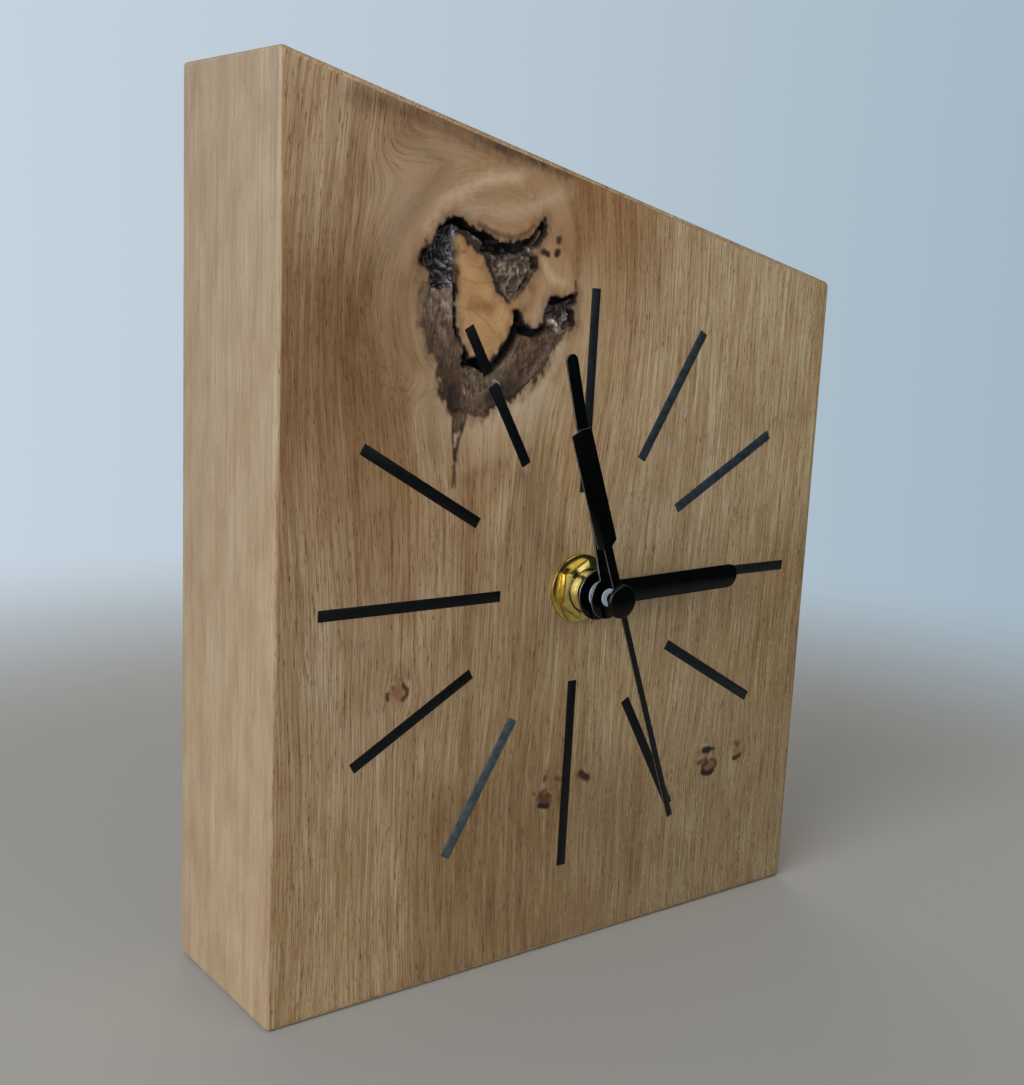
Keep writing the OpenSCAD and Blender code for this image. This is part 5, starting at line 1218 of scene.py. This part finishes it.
# Second hand and its cap: a needle with a broad counterweight on a small round eye, stamped and lacquered
# like the others, pressed on the second arbor and closed by a domed black cap.
second_front, second_t, second_angle = -30.75, 0.3, 160.1
needle_w, needle_l, neck_w, eye_r = 1.3, 48.3, 1.9, 2.3
needle_foot, neck_foot = 16.4, 24.4
weight_w, weight_top, shoulder, weight_end = 4.6, -11, -11.9, -34
outline = arc(0, 0, eye_r, needle_foot, 180 - neck_foot, 14) + [
    (neck_w / 2, weight_top), (weight_w / 2, shoulder), (weight_w / 2, weight_end), (0, weight_end - 0.4),
    (-weight_w / 2, weight_end), (-weight_w / 2, shoulder), (-neck_w / 2, weight_top),
] + arc(0, 0, eye_r, 180 + neck_foot, 360 - needle_foot, 14) + [
    (-needle_w / 2, needle_l), (needle_w / 2, needle_l)]
second = stamped("second_hand_stamped", outline, second_front, second_t, 0.04)
show_edges(second, second_front, second_t)
tube_bore, tube_r, tube_back = 0.52, 1.1, -28.05
tube = turned("tube", [
    (tube_bore, second_front + 0.1), (tube_bore, tube_back), (tube_r, tube_back),
    (tube_r, second_front + 0.1)])
dress(tube, lacquer)
joined([second, tube])
turned_about_dial(second, second_angle)
finish_edit(second)
cap_r, cap_h, cap_round, cap_dome = 3.2, 1, 0.5, 0.16
crown_r, cap_front = cap_r - cap_round, second_front - cap_h
dome = [(r, cap_front + cap_dome * (r / crown_r) ** 2) for r in (0, 0.6, 1.2, 1.8, 2.3, crown_r)]
rim = arc(crown_r, cap_front + cap_dome + cap_round, cap_round, 165, 90, 5)
foot = [(cap_r, second_front - 0.05), (cap_r - 0.05, second_front), (0, second_front)]
cap = turned("second_cap_turned", dome + rim + foot, steps=96)
dress(cap, lacquer)
for piece, replaced in [(second, "second_hand"), (cap, "second_cap")]:
    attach(piece, "second")
    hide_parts(replaced)

# Battery cell: an AA cell, a drawn steel can in a shrunk printed sleeve that wraps over both ends, with
# the button at the plus end and a pressed steel lid at the other. It is put in last.
cell_middle = Vector((0.4, 0.5, 54.82))
sleeve_end_r = 6
band_start, plus_at, minus_at, arm, stroke = 12.5, 19, -19.5, 1.7, 0.4

# Its outline runs from the lid over the sleeve to the button
cell = turned("battery_cell_sleeved", [
    (0, -24.8), (3.8, -24.8), (4.0, -24.7), (4.2, -24.5), (5.6, -24.45), (5.8, -24.2), (6.1, -24.2),
    (6.3, -24.5), (6.75, -24.5), (7.0, -24.3), (7.05, -24.0), (7.05, 23.3), (7.0, 23.7), (6.8, 23.95),
    (6.3, 24.05), (6.1, 23.8), (5.8, 23.7), (4.4, 23.9), (3.0, 23.95), (2.75, 24.1), (2.7, 25.2),
    (2.55, 25.5), (2.3, 25.6), (0, 25.6)], cell_middle, 96, (1, 0, 0))

# Shrink sleeve of printed PVC: dark blue, with a pale band and the signs of the ends, glossy and drawn
# tight, with faint scuffs
navy, silver = "#1d3c58", "#b9bcbd"
sleeve, tree, shader = material("pvc_sleeve_printed", {"Roughness": 0.22, "IOR": 1.53})
here = node(tree, "TexCoord", {}, out="Object")
apart = node(tree, "VectorMath", {0: here, 1: cell_middle * mm}, operation="SUBTRACT")
along = node(tree, "SeparateXYZ", {0: apart}, out="X")
upward = node(tree, "SeparateXYZ", {0: apart}, out="Z")
band = node(tree, "Math", {0: along, 1: band_start * mm}, operation="GREATER_THAN")
ink = node(tree, "Mix", {0: band, 6: navy, 7: silver}, out=2, data_type="RGBA")
for x, half_w, half_h, colour in [
    (plus_at, arm, stroke, navy), (plus_at, stroke, arm, navy), (minus_at, arm, stroke, silver),
]:
    wide = node(tree, "Math", {0: along, 1: x * mm, 2: half_w * mm}, operation="COMPARE")
    high = node(tree, "Math", {0: upward, 1: 0.0, 2: half_h * mm}, operation="COMPARE")
    sign = node(tree, "Math", {0: wide, 1: high}, operation="MULTIPLY")
    ink = node(tree, "Mix", {0: sign, 6: ink, 7: colour}, out=2, data_type="RGBA")
scuff = node(tree, "TexNoise", {"Vector": here, "Scale": 350.0, "Detail": 4.0})
worn = node(tree, "ValToRGB", {"Fac": scuff}, stops=[(0.35, "#dcdcdc"), (0.6, "#ffffff")])
tone = node(tree, "Mix", {0: 1.0, 6: ink, 7: worn}, out=2, data_type="RGBA", blend_type="MULTIPLY")
bumped = node(tree, "Bump", {"Strength": 0.3, "Distance": 0.00005, "Height": scuff})
tree.links.new(tone, shader.inputs["Base Color"])
tree.links.new(bumped, shader.inputs["Normal"])

# Steel, pressed and nickel-plated: bright grey with a fine even grain
plated = even("steel_pressed_plated", "#9fa2a0", "#b9bbb8", 0.4, 0.28, 0.006, Metallic=1.0)
dress(cell, sleeve, plated)
for face in cell.data.polygons:
    from_axis = face.center / mm - cell_middle
    face.material_index = int(math.hypot(from_axis.y, from_axis.z) < sleeve_end_r)
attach(cell, "battery")
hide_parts("battery_cell")

# Floor, light and camera: a plain pale floor that fades into the background, one large soft window at the
# left, a weak fill in front, a low lamp behind, and the camera at the photograph's place.
bpy.ops.object.select_all(action="DESELECT")
bpy.ops.mesh.primitive_circle_add(vertices=96, radius=2.5, fill_type="NGON")
floor = bpy.context.active_object
floor.name = floor.data.name = "floor"

# Matt paint, plain and pale, clear beyond 0.4 m so that the background shows
pale, tree, shader = material("floor_paint_matt", {"Roughness": 0.7, "Base Color": "#9d9a92"})
here = node(tree, "TexCoord", {}, out="Object")
distance = node(tree, "VectorMath", {0: here}, out="Value", operation="LENGTH")
fade = node(tree, "MapRange", {
    "Value": distance, "From Min": 0.15, "From Max": 0.4}, interpolation_type="SMOOTHSTEP")
clear = node(tree, "BsdfTransparent", {})
mixed = node(tree, "MixShader", {0: fade, 1: shader.outputs[0], 2: clear})
tree.links.new(mixed, tree.nodes["Material Output"].inputs["Surface"])
dress(floor, pale)


def lamp(name, size, place, power, colour):
    """A flat soft lamp of this size in m at a place, facing the clock."""
    data = bpy.data.lights.new(name, "AREA")
    data.shape = "RECTANGLE"
    data.size, data.size_y = size
    data.energy = power
    data.color = rgb(colour)
    made = bpy.data.objects.new(name, data)
    bpy.context.scene.collection.objects.link(made)
    made.location = place
    made.rotation_euler = (Vector((0, 0, 0.08)) - Vector(place)).to_track_quat("-Z", "Y").to_euler()
    return made


lamp("window", (0.9, 1.1), (-1.25, -0.42, 0.6), 23, "#f2f5ff")
lamp("fill", (1.0, 1.0), (0.5, -1.3, 0.7), 4.5, "#fff4e6").visible_glossy = False
rear = lamp("rear", (1.2, 0.5), (0.55, 1.35, 0.32), 13, "#fff4e6")
rear.visible_glossy = rear.visible_camera = False

# The background shows pale and cool to the camera, a little darker to the right. Gloss sees a room that is
# bright towards the window and in one patch of the ceiling, and the rest lights the object evenly.
world = bpy.data.worlds.new("studio")
bpy.context.scene.world = world
world.use_nodes = True
tree = world.node_tree
way = node(tree, "TexCoord", {}, out="Generated")
rightward = node(tree, "VectorMath", {0: way, 1: (0.8, -0.6, 0)}, out="Value", operation="DOT_PRODUCT")
across = node(tree, "MapRange", {"Value": rightward, "From Min": -0.4, "From Max": 0.4})
wall = node(tree, "ValToRGB", {"Fac": across}, stops=[(0.0, "#c8d5e0"), (1.0, "#a2b5c3")])
windowward = node(tree, "VectorMath", {0: way, 1: (-0.78, -0.1, 0.62)}, out="Value", operation="DOT_PRODUCT")
by_window = node(tree, "MapRange", {
    "Value": windowward, "From Min": -0.2, "From Max": 0.8, "To Min": 0.03, "To Max": 1.1},
    interpolation_type="SMOOTHSTEP")
upward = node(tree, "VectorMath", {0: way, 1: (0.22, -0.76, 0.62)}, out="Value", operation="DOT_PRODUCT")
by_ceiling = node(tree, "MapRange", {
    "Value": upward, "From Min": 0.86, "From Max": 0.97, "To Max": 1.8}, interpolation_type="SMOOTHSTEP")
bright = node(tree, "Math", {0: by_window, 1: by_ceiling}, operation="MAXIMUM")
camera_ray = node(tree, "LightPath", {}, out="Is Camera Ray")
glossy_ray = node(tree, "LightPath", {}, out="Is Glossy Ray")
seen = node(tree, "Background", {"Color": wall, "Strength": 1.0})
room = node(tree, "Background", {"Color": "#dfe8f2", "Strength": bright})
ambient = node(tree, "Background", {"Color": "#d8dee6", "Strength": 0.5})
unseen = node(tree, "MixShader", {0: glossy_ray, 1: ambient, 2: room})
both = node(tree, "MixShader", {0: camera_ray, 1: unseen, 2: seen})
tree.links.new(both, tree.nodes["World Output"].inputs["Surface"])

# The camera, solved from the photograph: its place in mm and the directions of its right, top and back
camera = bpy.data.cameras.new("camera")
camera.lens = 47.83
camera.sensor_width = camera.sensor_height = 36
camera.sensor_fit = "VERTICAL"
camera.clip_start, camera.clip_end = 0.01, 20
view = bpy.data.objects.new("camera", camera)
bpy.context.scene.collection.objects.link(view)
view.location = Vector((-173.6, -226.4, 134.8)) * mm
right = Vector((0.8019, -0.59572, 0.04564))
up = Vector((0.07768, 0.1797, 0.98065))
back = Vector((-0.59239, -0.78283, 0.19038))
view.rotation_euler = Matrix((right, up, back)).transposed().to_euler()
bpy.context.scene.camera = view
bpy.context.scene.view_settings.view_transform = "Standard"
